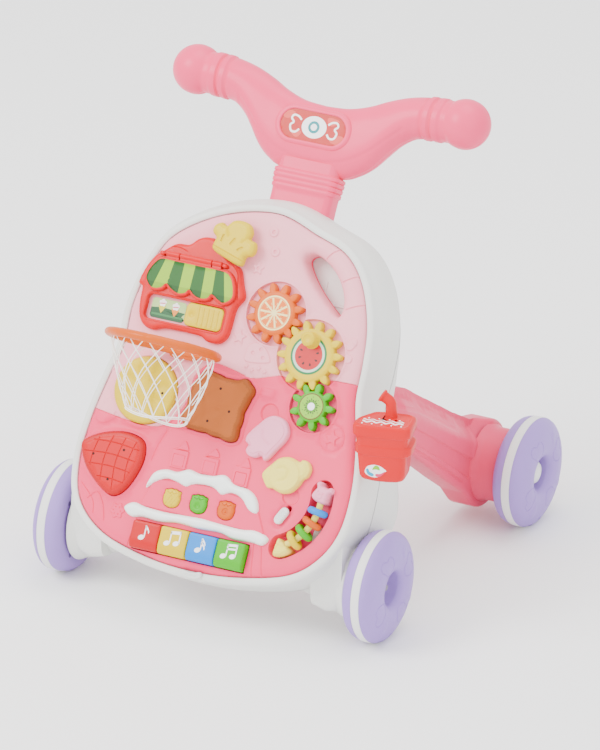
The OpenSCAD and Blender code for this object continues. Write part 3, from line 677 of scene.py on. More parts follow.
def bead_pocket():
    """Outline of the curved pocket round the beads, with round ends."""
    reach = 12.5
    pts = []
    for start, stop, r, centre in ((-66, 12, reach, 0), (12, 12, reach, 1), (12, -66, -reach, 0),
                                   (-66, -66, reach, -1)):
        if centre == 0:
            pts += [(BEAD_R + r, start + (stop - start) * k / 28) for k in range(29)]
        else:
            for k in range(1, 12):
                a = math.pi * k / 12
                out = BEAD_R + centre * reach * math.cos(a)
                pts.append((out, start + centre * math.degrees(reach * math.sin(a) / BEAD_R)))
    return np.array([(BEAD_CENTRE[0] + r * math.cos(math.radians(a)),
                      BEAD_CENTRE[1] + r * math.sin(math.radians(a)))
                     for r, a in pts])


def biscuit_line(step=1.2):
    """Scalloped outline of the biscuit."""
    line = resample(smooth(BISCUIT, 8), step)
    wave = 0.9 * np.abs(np.sin(np.arange(len(line)) * math.pi * 15 / len(line))) - 0.5
    turn = -1 if area_of(line) < 0 else 1
    return line - (wave * turn)[:, None] * normals(line)


# ---------------------------------------------------------------- body

def flared(outline, g, h):
    """Outline grown by g, and by more towards the back of the body's upper part."""
    t = np.clip((outline[:, 1] + 60) / 190, 0, 1)
    back = np.clip((-h - 7) / 24, 0, 1)
    extra = 8.5 * t * t * (3 - 2 * t) * math.sin(back * math.pi / 2)
    side = -1 if area_of(outline) > 0 else 1
    return outline + side * (g + extra)[:, None] * normals(outline)


def build_body():
    white = own("white", 0.33, 0.15)
    outline = resample(smooth(PANEL_POINTS, 8), 3.2)
    front = Shape()
    steps = [(0.8, -29), (0.7, -12), (0.35, -7.5), (0.35, -4.2), (0.8, -3.2), (1.8, -2.7), (3.4, -2.5),
             (5.2, -2.7), (6.4, -3.2), (7.4, -4.2), (8.0, -5.8), (8.2, -8), (8.2, -12), (8.3, -17),
             (8.3, -25), (8.4, -34), (8.5, -42), (8.5, -48.8), (8.3, -49.7), (7.8, -50), (5.0, -50),
             (5.0, -30.5), (3.0, -30.2)]
    rings = [np.c_[flared(outline, g, h if g > 7.5 else 0), np.full(len(outline), h)] for g, h in steps]
    front.add(loft(rings, caps=(False, False)), place=panel())
    lug = box_outline(147, -131, 164.5, -121, 1.5)
    front.add(prism(lug, 194, 214))
    piece("body_front_shell_skin", front, [white], "frame", ["body_front_shell"])

    tray = Shape()
    ribs = [Relief([(x, -110), (x, 150)], 1.2, 0.8, stroke=1.6, closed=False) for x in (-60, 60)]
    ribs += [Relief([(-90, v), (90, v)], 1.2, 0.8, stroke=1.6, closed=False) for v in (-90, 20, 130)]
    ribs += [Relief(circle(x, v, 9, 24), 1.6, 1.0) for x in (-90, 90) for v in (-20, 120)]
    tray.add(plate(grow(outline, 0.7), -29.8, -27.2, (1, 1), reliefs=ribs), place=panel())
    piece("body_tray_skin", tray, [white], "frame", ["body_tray"])

    # Rear shell: its back face follows the side profile of the body.
    rear = Shape()
    profile_v = [-190, -168, -150, -110, -62, -20, 30, 76, 153, 240]
    profile_n = [51, 52, 62, 90, 117, 103, 83, 68, 56, 56]
    curve = smooth(np.c_[profile_v, profile_n], 12, closed=False)
    mirrored = flared(outline, 8.5, -50) * [-1, 1]

    def depth(points):
        return np.interp(points[:, 1], curve[:, 0], curve[:, 1])

    panels = [Relief(box_outline(-60, -20, 60, 90, 16), -1.6, 2.5),
              Relief([(-70, 120), (70, 120)], -1.2, 1.2, stroke=2.2, closed=False),
              Relief([(-100, -90), (100, -90)], -1.2, 1.2, stroke=2.2, closed=False)]
    panels += [Relief(circle(x, v, 6.5, 28), -6, 1.0) for x in (-90, 90) for v in (-20, 120)]
    panels += [Relief(circle(-98, 60, 15, 40), -2.2, 1.6), Relief(circle(98, 60, 15, 40), -2.2, 1.6)]
    rear.add(plate(mirrored, 50.0, 0, (16, 13), reliefs=panels, base=depth, bottom=False),
             place=panel_back())
    place = panel()
    rings = []
    for v, shrink in ((146, 3), (146.6, 1.2), (148.5, 0), (203.5, 0), (205.4, 1.2), (206, 3)):
        ring = box_outline(-39 + shrink, -75 + shrink, 39 - shrink, -48 - shrink, 8)
        rings.append(np.c_[ring[:, 0], np.full(len(ring), v), ring[:, 1]])
    rear.add(loft(rings), place=place)
    for side in (-1, 1):
        frame_x = frame_at([0, FRONT_AXLE_Y, AXLE_Z], [0, side, 0], [0, 0, 1])
        profile = [(20, 60), (21, 92), (23, 106), (27, 119), (32, 133), (37, 145), (39.6, 151.5),
                   (41, 153.6), (41.4, 155.2), (40.8, 156.2), (39.4, 156.5), (36, 156.3), (34.5, 154.5),
                   (33, 150), (12, 149.5), (10.5, 151), (9.5, 156), (8.5, 156.4), (3.3, 156.4), (3.3, 150)]
        rear.add(lathe(profile, 88), place=frame_x)
        # Ledge that fairs the side wall into the housing.
        rings = []
        for x, low, high, back in ((118, 40, 118, 34), (132, 36, 121, 33), (143, 38, 122, 31),
                                   (149, 44, 121, 28), (151.5, 52, 118, 24), (152.5, 60, 112, 20)):
            ring = smooth([(-34, low), (-36, (low + high) / 2), (-31, high - 4), (-10, high),
                           (back, high - 10), (back + 3, (low + high) / 2), (back - 6, low + 2),
                           (0, low - 6)], 7)
            rings.append(np.c_[np.full(len(ring), side * x), ring[:, 0] + FRONT_AXLE_Y, ring[:, 1]])
        rear.add(loft(rings))
    piece("body_rear_shell_skin", rear, [white], "frame", ["body_rear_shell"])


def leg_outline(points=90):
    a = np.radians(np.linspace(66, -132, points // 2))
    arc = np.c_[REAR_AXLE_Y - 1 + 46 * np.cos(a), AXLE_Z - 1 + 46 * np.sin(a)]
    top = [(-84, 206), (-34, 212), (-14, 211), (6, 201.5), (20, 192), (22, 190.3), (48, 172.8), (51, 171.2),
           (80, 151.6), (83, 150), (112, 130.2), (116, 128.2), (150, 107)]
    under = [(112, 43), (75, 71), (32, 105), (-6, 136), (-34, 158), (-84, 160)]
    return np.vstack([top, arc, under])[::-1]


def build_legs():
    pink = own("leg", 0.38, 0.1)
    outline = resample(leg_outline(), 3.0)
    top_line = [(-90, 212), (-34, 214), (-10, 211), (20, 192), (120, 126), (150, 107), (182, 92), (204, 62),
                (204, 40), (180, 15)]
    for side, name in ((-1, "left_leg"), (1, "right_leg")):
        shape = Shape()
        # Outer face: upright below the ridge, falling away towards the top edge above it.
        for outward in (1, -1):
            n = side * outward
            place = frame_at([side * 128, 0, 0], [0, n, 0], [0, 0, 1])
            line = outline * [n, 1]

            def flip(points, n=n):
                return np.asarray(points, float) * [n, 1]

            if outward == 1:
                def face(points, n=n):
                    d = distance(points, flip(top_line[:6]), False)
                    t = np.clip(d / 27, 0, 1)
                    return -12 + 28 * np.sin(t * math.pi / 2) ** 1.15
                channel = [(-60, 205), (-11, 171), (57, 124), (118, 82), (127, 76), (131, 66), (126, 57),
                           (117, 57), (74, 90), (30, 122), (-11, 152), (-60, 187)]
                reliefs = [Relief(flip(channel), -1.8, 1.6),
                           Relief(flip([(-60, 180), (-10, 145), (34, 113), (80, 78), (104, 60)]), -1.2, 1.0,
                                  stroke=2.0, closed=False),
                           Relief(flip([(-40, 203), (12, 176), (54, 148), (100, 118)]), -1.0, 1.2,
                                  stroke=2.6, closed=False),
                           Relief(flip(circle(151, 76, 27, 60)), 1.6, 3.0),
                           Relief(flip(circle(REAR_AXLE_Y, AXLE_Z, 36, 72)), 1.0, 2.5)]
            else:
                face = None
                reliefs = [Relief(flip(pill(42, 118, 170, 14, -34.5)), -2.0, 1.4),
                           Relief(flip(circle(REAR_AXLE_Y, AXLE_Z, 30, 60)), -2.0, 2.0),
                           Relief(flip(circle(REAR_AXLE_Y, AXLE_Z, 9, 30)), 1.5, 1.5)]
            shape.add(plate(line, 0, 16, (4.5, 4.5), reliefs=reliefs,
                            base=face, bottom=False, cell=6), place=place)
        hub = frame_at([0, REAR_AXLE_Y, AXLE_Z], [0, side, 0], [0, 0, 1])
        profile = [(40.5, 141), (40.2, 144.5), (38.5, 148), (38, 152), (38, 165), (37.6, 168),
                   (36.2, 169.8), (34, 170.4), (20, 170.4), (18, 169.6), (17, 168)]
        shape.add(lathe(profile, 88), place=hub)
        piece(name + "_skin", shape, [pink], "frame", [name])


# ---------------------------------------------------------------- handlebar

def build_handlebar():
    pink = own("handle", 0.33, 0.2)
    neck = Shape()
    rings = []
    for v, extra in ((150, 0), (200, 0), (232, 0), (236, 0.2), (237, 1.5), (240.4, 1.6), (241.3, 0.5),
                     (242.2, 1.9), (245.6, 2.0), (246.5, 0.9), (247.4, 2.3), (250.8, 2.4), (251.7, 1.2),
                     (252.6, 2.4), (255.4, 2.2), (256.4, 0.6), (257.2, -1.2), (268, -1.4)):
        ring = box_outline(-34 - extra, -69 - extra * 0.5, 34 + extra, -43 + extra * 0.5, 7.5, 8)
        rings.append(np.c_[ring[:, 0], np.full(len(ring), v), ring[:, 1]])
    neck.add(loft(rings), place=panel())
    piece("neck_skin", neck, [pink], "frame", ["neck"])

    top = np.array([(0, 326), (25, 328), (47, 334.5), (66, 343.5), (86, 351), (107, 355.5), (132, 357),
                    (160, 357)])
    low = np.array([(0, 257), (33, 257), (49.5, 263.5), (63, 274), (76, 290), (85, 300.5), (96, 309),
                    (107, 313), (132, 314.5), (160, 315)])
    upper, lower = smooth(top, 16, False), smooth(low, 16, False)
    bib = np.array([(-92, 318), (-76, 303), (-63, 290), (-42, 276), (-17, 269.5), (17, 269.5), (42, 276),
                    (63, 290), (76, 303), (92, 318)])
    bib = smooth(bib, 8, False)
    xs = np.unique(np.round(np.r_[np.arange(-176.4, -90, 1.6), np.arange(-90, 90.1, 1.25),
                                  np.arange(90, 176.5, 1.6),
                                  -176.45, -175.6, 175.6, 176.45], 3))
    arc = np.linspace(0, math.pi, 66)
    halves = {1: [], -1: []}
    for x in xs:
        ax = abs(x)
        high, bottom = np.interp(ax, upper[:, 0], upper[:, 1]), np.interp(ax, lower[:, 0], lower[:, 1])
        mid, half_v = (high + bottom) / 2, (high - bottom) / 2
        half_h = np.interp(ax, [0, 55, 80, 105, 160], [19, 19.5, 20.5, 21.2, 21.2])
        power = np.interp(ax, [0, 50, 80, 100], [2.7, 2.6, 2.2, 2.0])
        collar = 1.3 * (bump_at(ax, 111, 118.5, 1.6) + bump_at(ax, 121.5, 129, 1.6)) - 1.0 * bump_at(ax,
                118.5, 121.5, 1.4) \
            - 0.8 * bump_at(ax, 108.6, 111, 1.2)
        half_v, half_h = half_v + collar, half_h + collar
        ball = 25.5 ** 2 - (ax - 151) ** 2
        if ball > 0 and (math.sqrt(ball) > half_v or ax > 151):
            r = max(math.sqrt(ball), 0.3)
            half_v = half_h = r
            mid, power = 336.5, 2.0
        for front, rings in halves.items():
            c, n = np.cos(arc), np.sin(arc)
            v = mid + half_v * np.sign(c) * np.abs(c) ** (2 / power)
            h = half_h * np.abs(n) ** (2 / power)
            seam = np.clip((1.4 - h) / 1.4, 0, 1) * 0.7
            v = mid + (v - mid) * (1 - seam / max(half_v, 3))
            if front == 1 and ax < 92:
                d = distance(np.c_[np.full(len(v), x), v], bib, False)
                h = h - 1.1 * np.exp(-(d / 1.2) ** 2) * (h > 6)
                below = inside(np.c_[np.full(len(v), x), v], np.vstack([bib, [(120, 200), (-120, 200)]]))
                h = h - 0.8 * below * (h > 6) * np.clip(d / 1.5, 0, 1)
            rings.append(np.c_[np.full(len(v), x), v, -60 + front * (h + 0.12)])
    for front, name in ((1, "handlebar_front_shell"), (-1, "handlebar_rear_shell")):
        shape = Shape().add(loft(halves[front]), place=panel())
        piece(name + "_skin", shape, [pink], "frame", [name])

    emblem = Shape()
    place = panel(-2, 301, 0)
    ring = plate(pill(0, 0, 85, 40, 0, 24), -50, -38.4, (3.2, 3.2),
                 holes=[(pill(0, 0, 73, 30.5, 0, 24), (1.2, 1.2))],
                 cell=3)
    emblem.add(ring, 0, place)
    emblem.add(plate(pill(0, 0, 74, 31.5, 0, 20), -46, -39.9, (0.5, 0.2), cell=4), 1, place)
    for x, w, turn in ((-30, 9, 20), (-17, 7, 160), (20, 8, 15), (30, 10, 70), (2, 6, 90)):
        inner = turned(blob(0, 0, w, 3, 0.16, turn, 30), 0)
        inner = inner * [0.8, 0.5] + [x, 9 if turn < 60 else -9]
        inner[:, 1] = np.clip(inner[:, 1], -14.5, 14.5)
        emblem.add(prism(inner, -40.1, -39.78), 2, place)
    emblem.add(prism(circle(1, 0, 11.2, 48) * [1.22, 1.0], -40.0, -39.62), 3, place)
    emblem.add(prism(circle(1, 0, 6.2, 40), -39.9, -39.50), 4, place)
    emblem.add(prism(circle(1, 0, 3.5, 30), -39.8, -39.40), 3, place)
    wing = smooth([(15, 5), (19, 8), (24, 8.5), (26, 5), (23, 1.5), (26, -2), (24, -7.5), (19, -8),
                   (15.5, -4.5)], 5, False)
    for sign in (-1, 1):
        line = wing * [sign, 1] + [1, 0]
        emblem.add(ribbon(line, 2.0, -40.0, -39.55), 3, place)
    prints = [own("handle", 0.33, 0.2), plastic("print_red", (0.52, 0.018, 0.014), 0.3, 0.3),
              plastic("print_rose", (0.72, 0.07, 0.055), 0.3, 0.3),
              plastic("print_white", (0.93, 0.93, 0.93), 0.3, 0.3),
              plastic("print_teal", (0.004, 0.22, 0.24), 0.3, 0.3)]
    piece("handle_emblem_plate", emblem, prints, "frame", ["handle_emblem"])


# ---------------------------------------------------------------- wheels

def wheel_frame(side, track, y):
    return frame_at([side * track / 2, y, AXLE_Z], [0, side, 0], [0, 0, 1])


def build_wheels():
    lilac, band = own("lilac", 0.42, 0.05), own("tyre", 0.45)
    # Wheel lilac darkened to 0.45: painted shade for the screw holes on the inner faces.
    screw_hole_shade = own("lilac", 0.5, 0.0, 0.45)
    curve = smooth([(17, 10.5), (17.6, 12.5), (19.5, 14.6), (23, 16.2), (30, 17.4), (38, 16.4), (45, 14.4),
                    (50.5, 12.0), (54.2, 9.4), (56, 7.2), (56.7, 5.2)], 8, False)

    def crown(points):
        return np.interp(np.linalg.norm(points, axis=1), curve[:, 0], curve[:, 1])

    reliefs = []
    for k in range(4):
        turn = 22 + 90 * k
        cloud = smooth([(24, -3), (29, -8), (36, -9), (41, -5), (40, 1), (44, 6), (42, 12), (36, 13),
                        (31, 10), (25, 7)], 6)
        reliefs.append(Relief(turned(cloud, turn), -0.55, 0.5, stroke=0.75))
        dent = smooth([(27, 17), (33, 18), (40, 22), (36, 28), (29, 26)], 6)
        reliefs.append(Relief(turned(dent, turn), 0.5, 1.6))
    reliefs.append(Relief([(-2, -50), (0, -56)], -1.2, 0.6, stroke=1.2, closed=False))
    cap = [(13.6, -2), (13.6, 1), (12.6, 5.4), (10, 8.6), (6, 10.4), (0.05, 11), (0.05, 8), (3.7, 7.9),
           (3.7, -2)]
    disc = plate(circle(0, 0, 56.75, 120), 4.6, 0, (0, 0), holes=[(circle(0, 0, 17, 60), (0, 0))],
                 reliefs=reliefs, base=crown, cell=3.6, bottom=False)
    inner = [(17, 10.6), (16.7, 6), (16.5, 0.5), (16.2, -1.0), (15.4, -1.8), (8, -2.2), (7, -1.4),
             (3.6, -1.2), (3.2, -1.6), (3.2, -17.6), (13, -17.8), (15, -17.2), (17, -16.2), (21, -17.4),
             (25, -18.2), (45, -18.4), (49, -17.6), (52, -15.8), (54.4, -13), (55.8, -9.6), (56.6, -6),
             (56.75, -4.6)]
    tyre_profile = [(53.5, -4.6), (56.3, -4.75), (56.9, -4.2), (57.05, -3.2), (57.05, 3.2), (56.9, 4.2),
                    (56.3, 4.75), (53.5, 4.6)]
    for side, end in ((-1, "left"), (1, "right")):
        for row, track, y in (("front", 354.0, FRONT_AXLE_Y), ("rear", 382.0, REAR_AXLE_Y)):
            place = wheel_frame(side, track, y)
            body = "%s_%s_wheel" % (row, end)
            rim = Shape().add(disc, 0, place).add(lathe(inner, 120, paint=lambda i,
                                                        k: 2 if 3 <= i <= 9 else 0), 0, place)
            if row == "rear":
                rim.add(lathe(cap, 56), 2, place)
            # Four dark lilac discs on the inner face: painted shade standing in for the screw holes.
            for k in range(4):
                a = math.radians(45 + 90 * k)
                rim.add(prism(circle(41 * math.cos(a), 41 * math.sin(a), 2.3, 20), -18.7, -18.2), 1, place)
            piece("%s_%s_rim_skin" % (row, end), rim, [lilac, screw_hole_shade, band], body,
                  ["%s_%s_rim" % (row, end)])
            tyre = Shape().add(lathe(tyre_profile, 128, closed=True), 0, place)
            piece("%s_%s_tyre_skin" % (row, end), tyre, [band], body,
                  ["%s_%s_tyre" % (row, end)])


# ---------------------------------------------------------------- play panel covers

def glyph(digit, x, y, size):
    """Strokes of a small moulded figure."""
    shapes = {1: [(-0.25, 0.6), (0.05, 1), (0.05, -1)],
              2: [(-0.5, 0.6), (-0.2, 1), (0.4, 0.85), (0.4, 0.35), (-0.5, -1), (0.55, -1)],
              3: [(-0.5, 0.8), (0.0, 1), (0.45, 0.6), (0.0, 0.1), (0.5, -0.45), (0.0, -1), (-0.5, -0.75)]}
    return np.array(shapes[digit]) * size + [x, y]


def cover_reliefs():
    k = settings().relief
    out = []

    def area(line, height, blend=0.7, **more):
        out.append(Relief(line, height * k, blend, **more))

    def stroke(line, height, half=0.6, closed=False, blend=0.6):
        out.append(Relief(line, height * k, blend, stroke=half, closed=closed))

    # Pockets of the gears and of the beads.
    for kind, r in (("orange", 32.6), ("yellow", 37.1), ("green", 25.9)):
        x, v, _, _ = gear_place(kind)
        out.append(Relief(circle(x, v, r, 90), -4.2, 0.9))
        area(circle(x, v, r + 2.6, 90), 0.8, 1.4)
    out.append(Relief(bead_pocket(), -13, 1.6))
    # Raised rims round the drums.
    area(circle(PINEAPPLE[0], PINEAPPLE[1], PINEAPPLE[2] + 5.5, 90), 1.6, 2.2)
    area(grow(biscuit_line(), 4.5), 1.6, 1.8)
    area(grow(smooth(STRAWBERRY), 3.6), 1.4, 1.8)
    # Candles with their flames and figures.
    for number, (x, v) in enumerate(((-39, -62), (-4.5, -62), (31.5, -66))):
        tall = (0, -1, 1)[number]
        area(box_outline(x - 9.5, v - 2, x + 9.5, v + 17 + tall, 1.5), 1.5, 0.8)
        stroke(box_outline(x - 6.3, v, x + 6.3, v + 12, 1), -0.7, 0.5, True)
        flame = [(x - 7, v + 16), (x - 1, v + 17), (x + 8, v + 17.5), (x + 7, v + 22),
                 (x + 2.5, v + 27 + tall), (x - 1, v + 22)]
        area(smooth(flame), 1.3, 0.9)
        stroke(glyph(number + 1, x, v + 6, 3.4), 0.9, 0.7)
    # Cake between the two rows of icing.
    cake = [(-60, -78), (-70, -108), (72, -110), (60, -88), (40, -78), (0, -74), (-30, -76)]
    area(cake, 1.4, 1.2)
    stroke([(-69, -121), (-73, -150)], -0.6, 0.7)
    stroke([(62, -118), (67, -152)], -0.6, 0.7)
    stroke([(70, -118), (78, -150)], 0.8, 0.8)
    # Small pictures.
    for x, v in ((3, 187), (9.5, 168)):
        area(circle(x, v, 5.2, 30), 1.0, 1.0)
        area(circle(x, v, 2.2, 20), -0.9, 0.6)
    area(blob(-4.5, 148.5, 5.6, 5, 0.25, 90), 1.0, 1.0)
    area(circle(-4.5, 148.5, 1.9, 20), -0.8, 0.5)
    area(star(-6.5, 77.5, 8.5), 1.1, 0.9)
    cone = [(4, 66), (6, 72), (13, 76), (22, 74), (30, 66), (31, 58), (6, 55)]
    area(smooth(cone), 1.0, 1.0)
    for x, v in ((12, 65), (20, 70), (24, 62)):
        area(circle(x, v, 2.2, 20), -0.8, 0.6)
    for x, v in ((8, 51), (15, 48), (22, 51), (29, 49)):
        area(star(x, v, 3.4), 0.8, 0.6)
    area(star(118, -1, 9.5), 1.0, 0.9)
    stroke(circle(118, -1, 13.5, 40), -0.5, 0.5, True)
    area(blob(114.6, 94, 6.0, 2, 0.22, 60), 0.9, 0.9)
    area(circle(114.6, 79, 4.6, 30), 0.9, 0.9)
    # Recesses beside the knobs.
    area(circle(45, 10, 10, 40), -1.6, 1.4)
    area(circle(89, -66, 9.5, 40), -1.4, 1.4)
    area(pill(SWITCH[0], SWITCH[1], 29, 16, SWITCH[2]), -1.0, 2.0)
    area(box_outline(30, 24, 46, 34, 3), 0.7, 1.0)
    stroke(smooth([(-128, -112), (-119, -104), (-110, -114), (-105, -128)], 6, False), 0.9, 0.8)
    area(blob(-92, -118, 7.5, 6, 0.16, 10), 0.9, 0.9)
    for a in range(0, 360, 60):
        area(circle(-92 + 4 * math.cos(math.radians(a)), -118 + 4 * math.sin(math.radians(a)), 1.0, 12),
             -0.6, 0.5)
    stroke(smooth([(-138, -98), (-122, -112), (-118, -125)], 6, False), -0.6, 0.6)
    area(blob(-128, -18, 8.5, 3, 0.18, 90), 0.8, 1.0)
    area(smooth([(-118, -26), (-126, -34), (-136, -36), (-142, -28), (-132, -20)]), 0.8, 1.0)
    area(blob(-135, 22, 4.5, 2, 0.2, 45), 0.8, 0.8)
    # Grip of the carry handle.
    for line in ([(65, 172), (71, 179), (77, 184)], [(89, 153), (97, 158), (104.5, 162)],
                 [(99.6, 127), (110, 132), (120, 136)]):
        stroke(smooth(line, 5, False), -0.9, 0.9)
    # Wave beside the music keys and edge line of the lower cover.
    stroke(smooth([(-60, -30), (-66, -46), (-69, -60)], 6, False), -0.5, 0.6)
    return out


FRUIT = smooth([(-7.2, -7.0), (0, -9.6), (7.2, -7.0), (9.4, -0.5), (8.6, 4.6), (8.8, 7.4), (5.2, 8.2),
                (2.4, 9.4), (0, 8.7), (-2.4, 9.4), (-5.2, 8.2), (-8.8, 7.4), (-8.6, 4.6), (-9.4, -0.5)], 6)


def build_covers():
    pale, pink = own("pale", 0.38, 0.08), own("pink", 0.36, 0.1)
    outline = resample(smooth(PANEL_POINTS, 8), 2.6)
    border = smooth(BORDER, 5, False)
    # Extend the border to meet the outline at both ends.
    left = [p for p in outline if p[0] < 0 and abs(p[1] + 22.5) < 9]
    start = min(left, key=lambda p: abs(p[1] + 22.5))
    right = [p for p in outline if p[0] > 0 and abs(p[1] - 55.5) < 9]
    end = min(right, key=lambda p: abs(p[1] - 55.5))
    border = np.vstack([[start], border, [end]])
    region = np.vstack([border, [(200, 55), (200, 260), (-200, 260), (-200, -22)]])
    holes = [(circle(PINEAPPLE[0], PINEAPPLE[1], PINEAPPLE[2] + 0.45, 96), (0.9, 0.9)),
             (grow(biscuit_line(), 0.45), (0.9, 0.9)),
             (grow(smooth(STRAWBERRY), 0.45), (0.9, 0.9)),
             (box_outline(KEY_X - 0.4, KEY_LOW - 0.4, KEY_X + 4 * KEY_PITCH + 0.4, KEY_HIGH + 0.4, 1.0),
              (0.8, 0.8)),
             (resample(smooth(HANDLE_HOLE, 8), 2.0), (9.0, 7.0))]
    a = math.radians(SWITCH[2])
    slot_at = (SWITCH[0] + 2.5 * math.cos(a), SWITCH[1] + 2.5 * math.sin(a))
    holes.append((pill(slot_at[0], slot_at[1], 20.8, 6.8, SWITCH[2], 8), (0.5, 0.5)))
    for x, v in BUTTONS:
        holes.append((grow(resample(FRUIT, 1.2), 0.5) + [x, v], (0.7, 0.7)))
    # Seam groove along the border.
    lines = [border]
    reliefs = cover_reliefs() + [Relief(border, -0.9, 0.7, stroke=0.8, closed=False)]
    parts = plate(outline, -22, 0, (8.5, 6.0), holes=holes, reliefs=reliefs, lines=lines, bottom=False,
                  part=lambda mid: inside(mid, region).astype(int))
    for number, name, material, slot in ((1, "panel_upper_cover", pale, "panel_pale_pink"),
                                         (0, "panel_lower_cover", pink, "panel_pink")):
        piece(name + "_skin", Shape().add(parts[number], place=panel()), [material], "play_panel",
              [name], sharp=50)


UPPER_CREAM = [(-67, -89), (-62, -73), (-50, -67), (-37, -67), (-25, -62), (-13, -64), (2, -63), (15, -60),
               (28, -67), (44, -69), (55, -77), (59, -90), (49, -89), (38, -79), (26, -76), (16, -80),
               (6, -75), (-6, -74), (-17, -76), (-24, -80), (-36, -77), (-47, -76), (-58, -82)]
LOWER_CREAM = [(-85, -113), (-76, -106), (-62, -108), (-40, -109), (-20, -108), (0, -107), (20, -108),
               (44, -109), (62, -107), (77, -112), (72, -120), (60, -119.5), (40, -120.5), (24, -117),
               (0, -118), (-24, -117), (-44, -120), (-62, -119), (-76, -120.5)]


def build_trims():
    cream = own("cream", 0.36, 0.1)
    shape = Shape()
    for points in (UPPER_CREAM, LOWER_CREAM):
        line = resample(smooth(points, 6), 1.6)
        shape.add(plate(line, -0.5, 5.0, (4.2, 4.2), cell=2.6), place=panel())
    piece("cream_trims_skin", shape, [cream], "play_panel", ["cream_trims"])

    # Bead rod with a bear at one end and an ice-cream cone at the other.
    rod = Shape()
    angles = np.radians(np.linspace(-58, 4, 60))
    path = np.c_[BEAD_CENTRE[0] + BEAD_R * np.cos(angles), BEAD_CENTRE[1] + BEAD_R * np.sin(angles),
                 np.full(60, 1.0)]
    rod.add(tube(path, 3.3, 20), 0, panel())
    bear = [(0, 9.2), (3.2, 9.0), (5.2, 11.6), (8.6, 11.4), (9.8, 8.2), (7.6, 5.4), (8.2, 1), (8.6, -4.6),
            (5, -7.0), (0, -7.6), (-5, -7.0), (-8.6, -4.6), (-8.2, 1), (-7.6, 5.4), (-9.8, 8.2),
            (-8.6, 11.4), (-5.2, 11.6), (-3.2, 9.0)]
    a = math.radians(8.5)
    place = panel(BEAD_CENTRE[0] + BEAD_R * math.cos(a), BEAD_CENTRE[1] + BEAD_R * math.sin(a), 0, -18)
    faces = [Relief(circle(-3, 2.6, 1.0, 14), -0.7, 0.5), Relief(circle(3, 2.6, 1.0, 14), -0.7, 0.5),
             Relief(circle(0, -1.2, 3.6, 30) * [1.2, 0.9], 1.2, 1.4),
             Relief(circle(0, 0.2, 1.0, 14), -0.5, 0.5),
             Relief(circle(-7.4, 9.2, 1.4, 16), -0.6, 0.6), Relief(circle(7.4, 9.2, 1.4, 16), -0.6, 0.6)]
    rod.add(plate(resample(smooth(bear, 6), 1.0), -12.5, 7.5, (3.6, 4.2), reliefs=faces, cell=1.8), 1,
            place)
    cone = [(-9, -5.6), (-6, -8.8), (0, -9.8), (6.6, -9), (9.4, -6), (7.2, -1.6), (4.2, 3.6), (0.4, 8.4),
            (-3.4, 4)]
    a = math.radians(-64.5)
    place = panel(BEAD_CENTRE[0] + (BEAD_R + 0.5) * math.cos(a),
                  BEAD_CENTRE[1] + (BEAD_R + 0.5) * math.sin(a), 0, 26)
    faces = [Relief([(-6, -5.5), (0, -7), (7, -5.5)], 0.9, 0.8, stroke=1.4, closed=False),
             Relief([(-3, -1), (3, 5)], -0.5, 0.4, stroke=0.45, closed=False),
             Relief([(4, -2), (-2, 4)], -0.5, 0.4, stroke=0.45, closed=False)]
    rod.add(plate(resample(smooth(cone, 6), 1.0), -12.5, 6.5, (3.4, 4.0), reliefs=faces, cell=1.8), 2,
            place)
    piece("bead_rod_figures", rod, [own("candy", 0.4), own("lolly", 0.36, 0.1),
                                    own("candy", 0.36, 0.1, 1.04)],
          "play_panel", ["bead_rod"])

    # Beads: rings that slide along the rod.
    profile = []
    for k in range(17):
        t = math.radians(90 + 360 * k / 16)
        profile.append((7.4 + 3.4 * math.cos(t), 3.5 * math.sin(t)))
    for number, (angle, key) in enumerate(((-9, "sky"), (-22, "orange"), (-35, "leaf"), (-48, "yellow"))):
        a = math.radians(angle)
        across = panel()
        middle = across[:3, :3] @ np.array([BEAD_CENTRE[0] + BEAD_R * math.cos(a),
                                            BEAD_CENTRE[1] + BEAD_R * math.sin(a), 1.0])
        middle = middle + across[:3, 3]
        radial = across[:3, :3] @ np.array([math.cos(a), math.sin(a), 0])
        out = across[:3, :3] @ np.array([0, 0, 1.0])
        ring = Shape().add(lathe(profile, 56), 0, frame_at(middle, radial, out))
        piece("bead_%d_ring" % (number + 1), ring, [own(key, 0.33, 0.15)], "bead_%d" % (number + 1),
              ["bead_%d" % (number + 1)])


# ---------------------------------------------------------------- shop

SHOP = [(-127, 110), (-122, 106), (-121, 92), (-118, 78), (-111, 69), (-100, 66), (-85, 70), (-49, 70),
        (-39, 66), (-27, 66), (-19, 73), (-17, 84), (-16, 104), (-10, 116), (-15, 129), (-22, 144),
        (-34, 149), (-52, 166), (-63, 168), (-73, 165), (-82, 157), (-96, 155), (-109, 145), (-116, 139),
        (-123, 126)]
AWNING_GREEN = [(-116.5, 114.8), (-115.9, 122.8), (-111, 132), (-104.6, 136.9), (-88, 137.2), (-56, 137.2),
                (-34.4, 136.9), (-26, 132), (-21, 121.5), (-20.3, 112.5), (-27.5, 106.5), (-33.2, 108),
                (-42.5, 112.6), (-46, 108), (-53.5, 106.1), (-61.1, 108), (-67.6, 112.4), (-71.9, 108),
                (-79.5, 106.5), (-87.5, 109.5), (-93.9, 113.8), (-98.1, 109.2), (-104, 107),
                (-110.4, 107.8)]


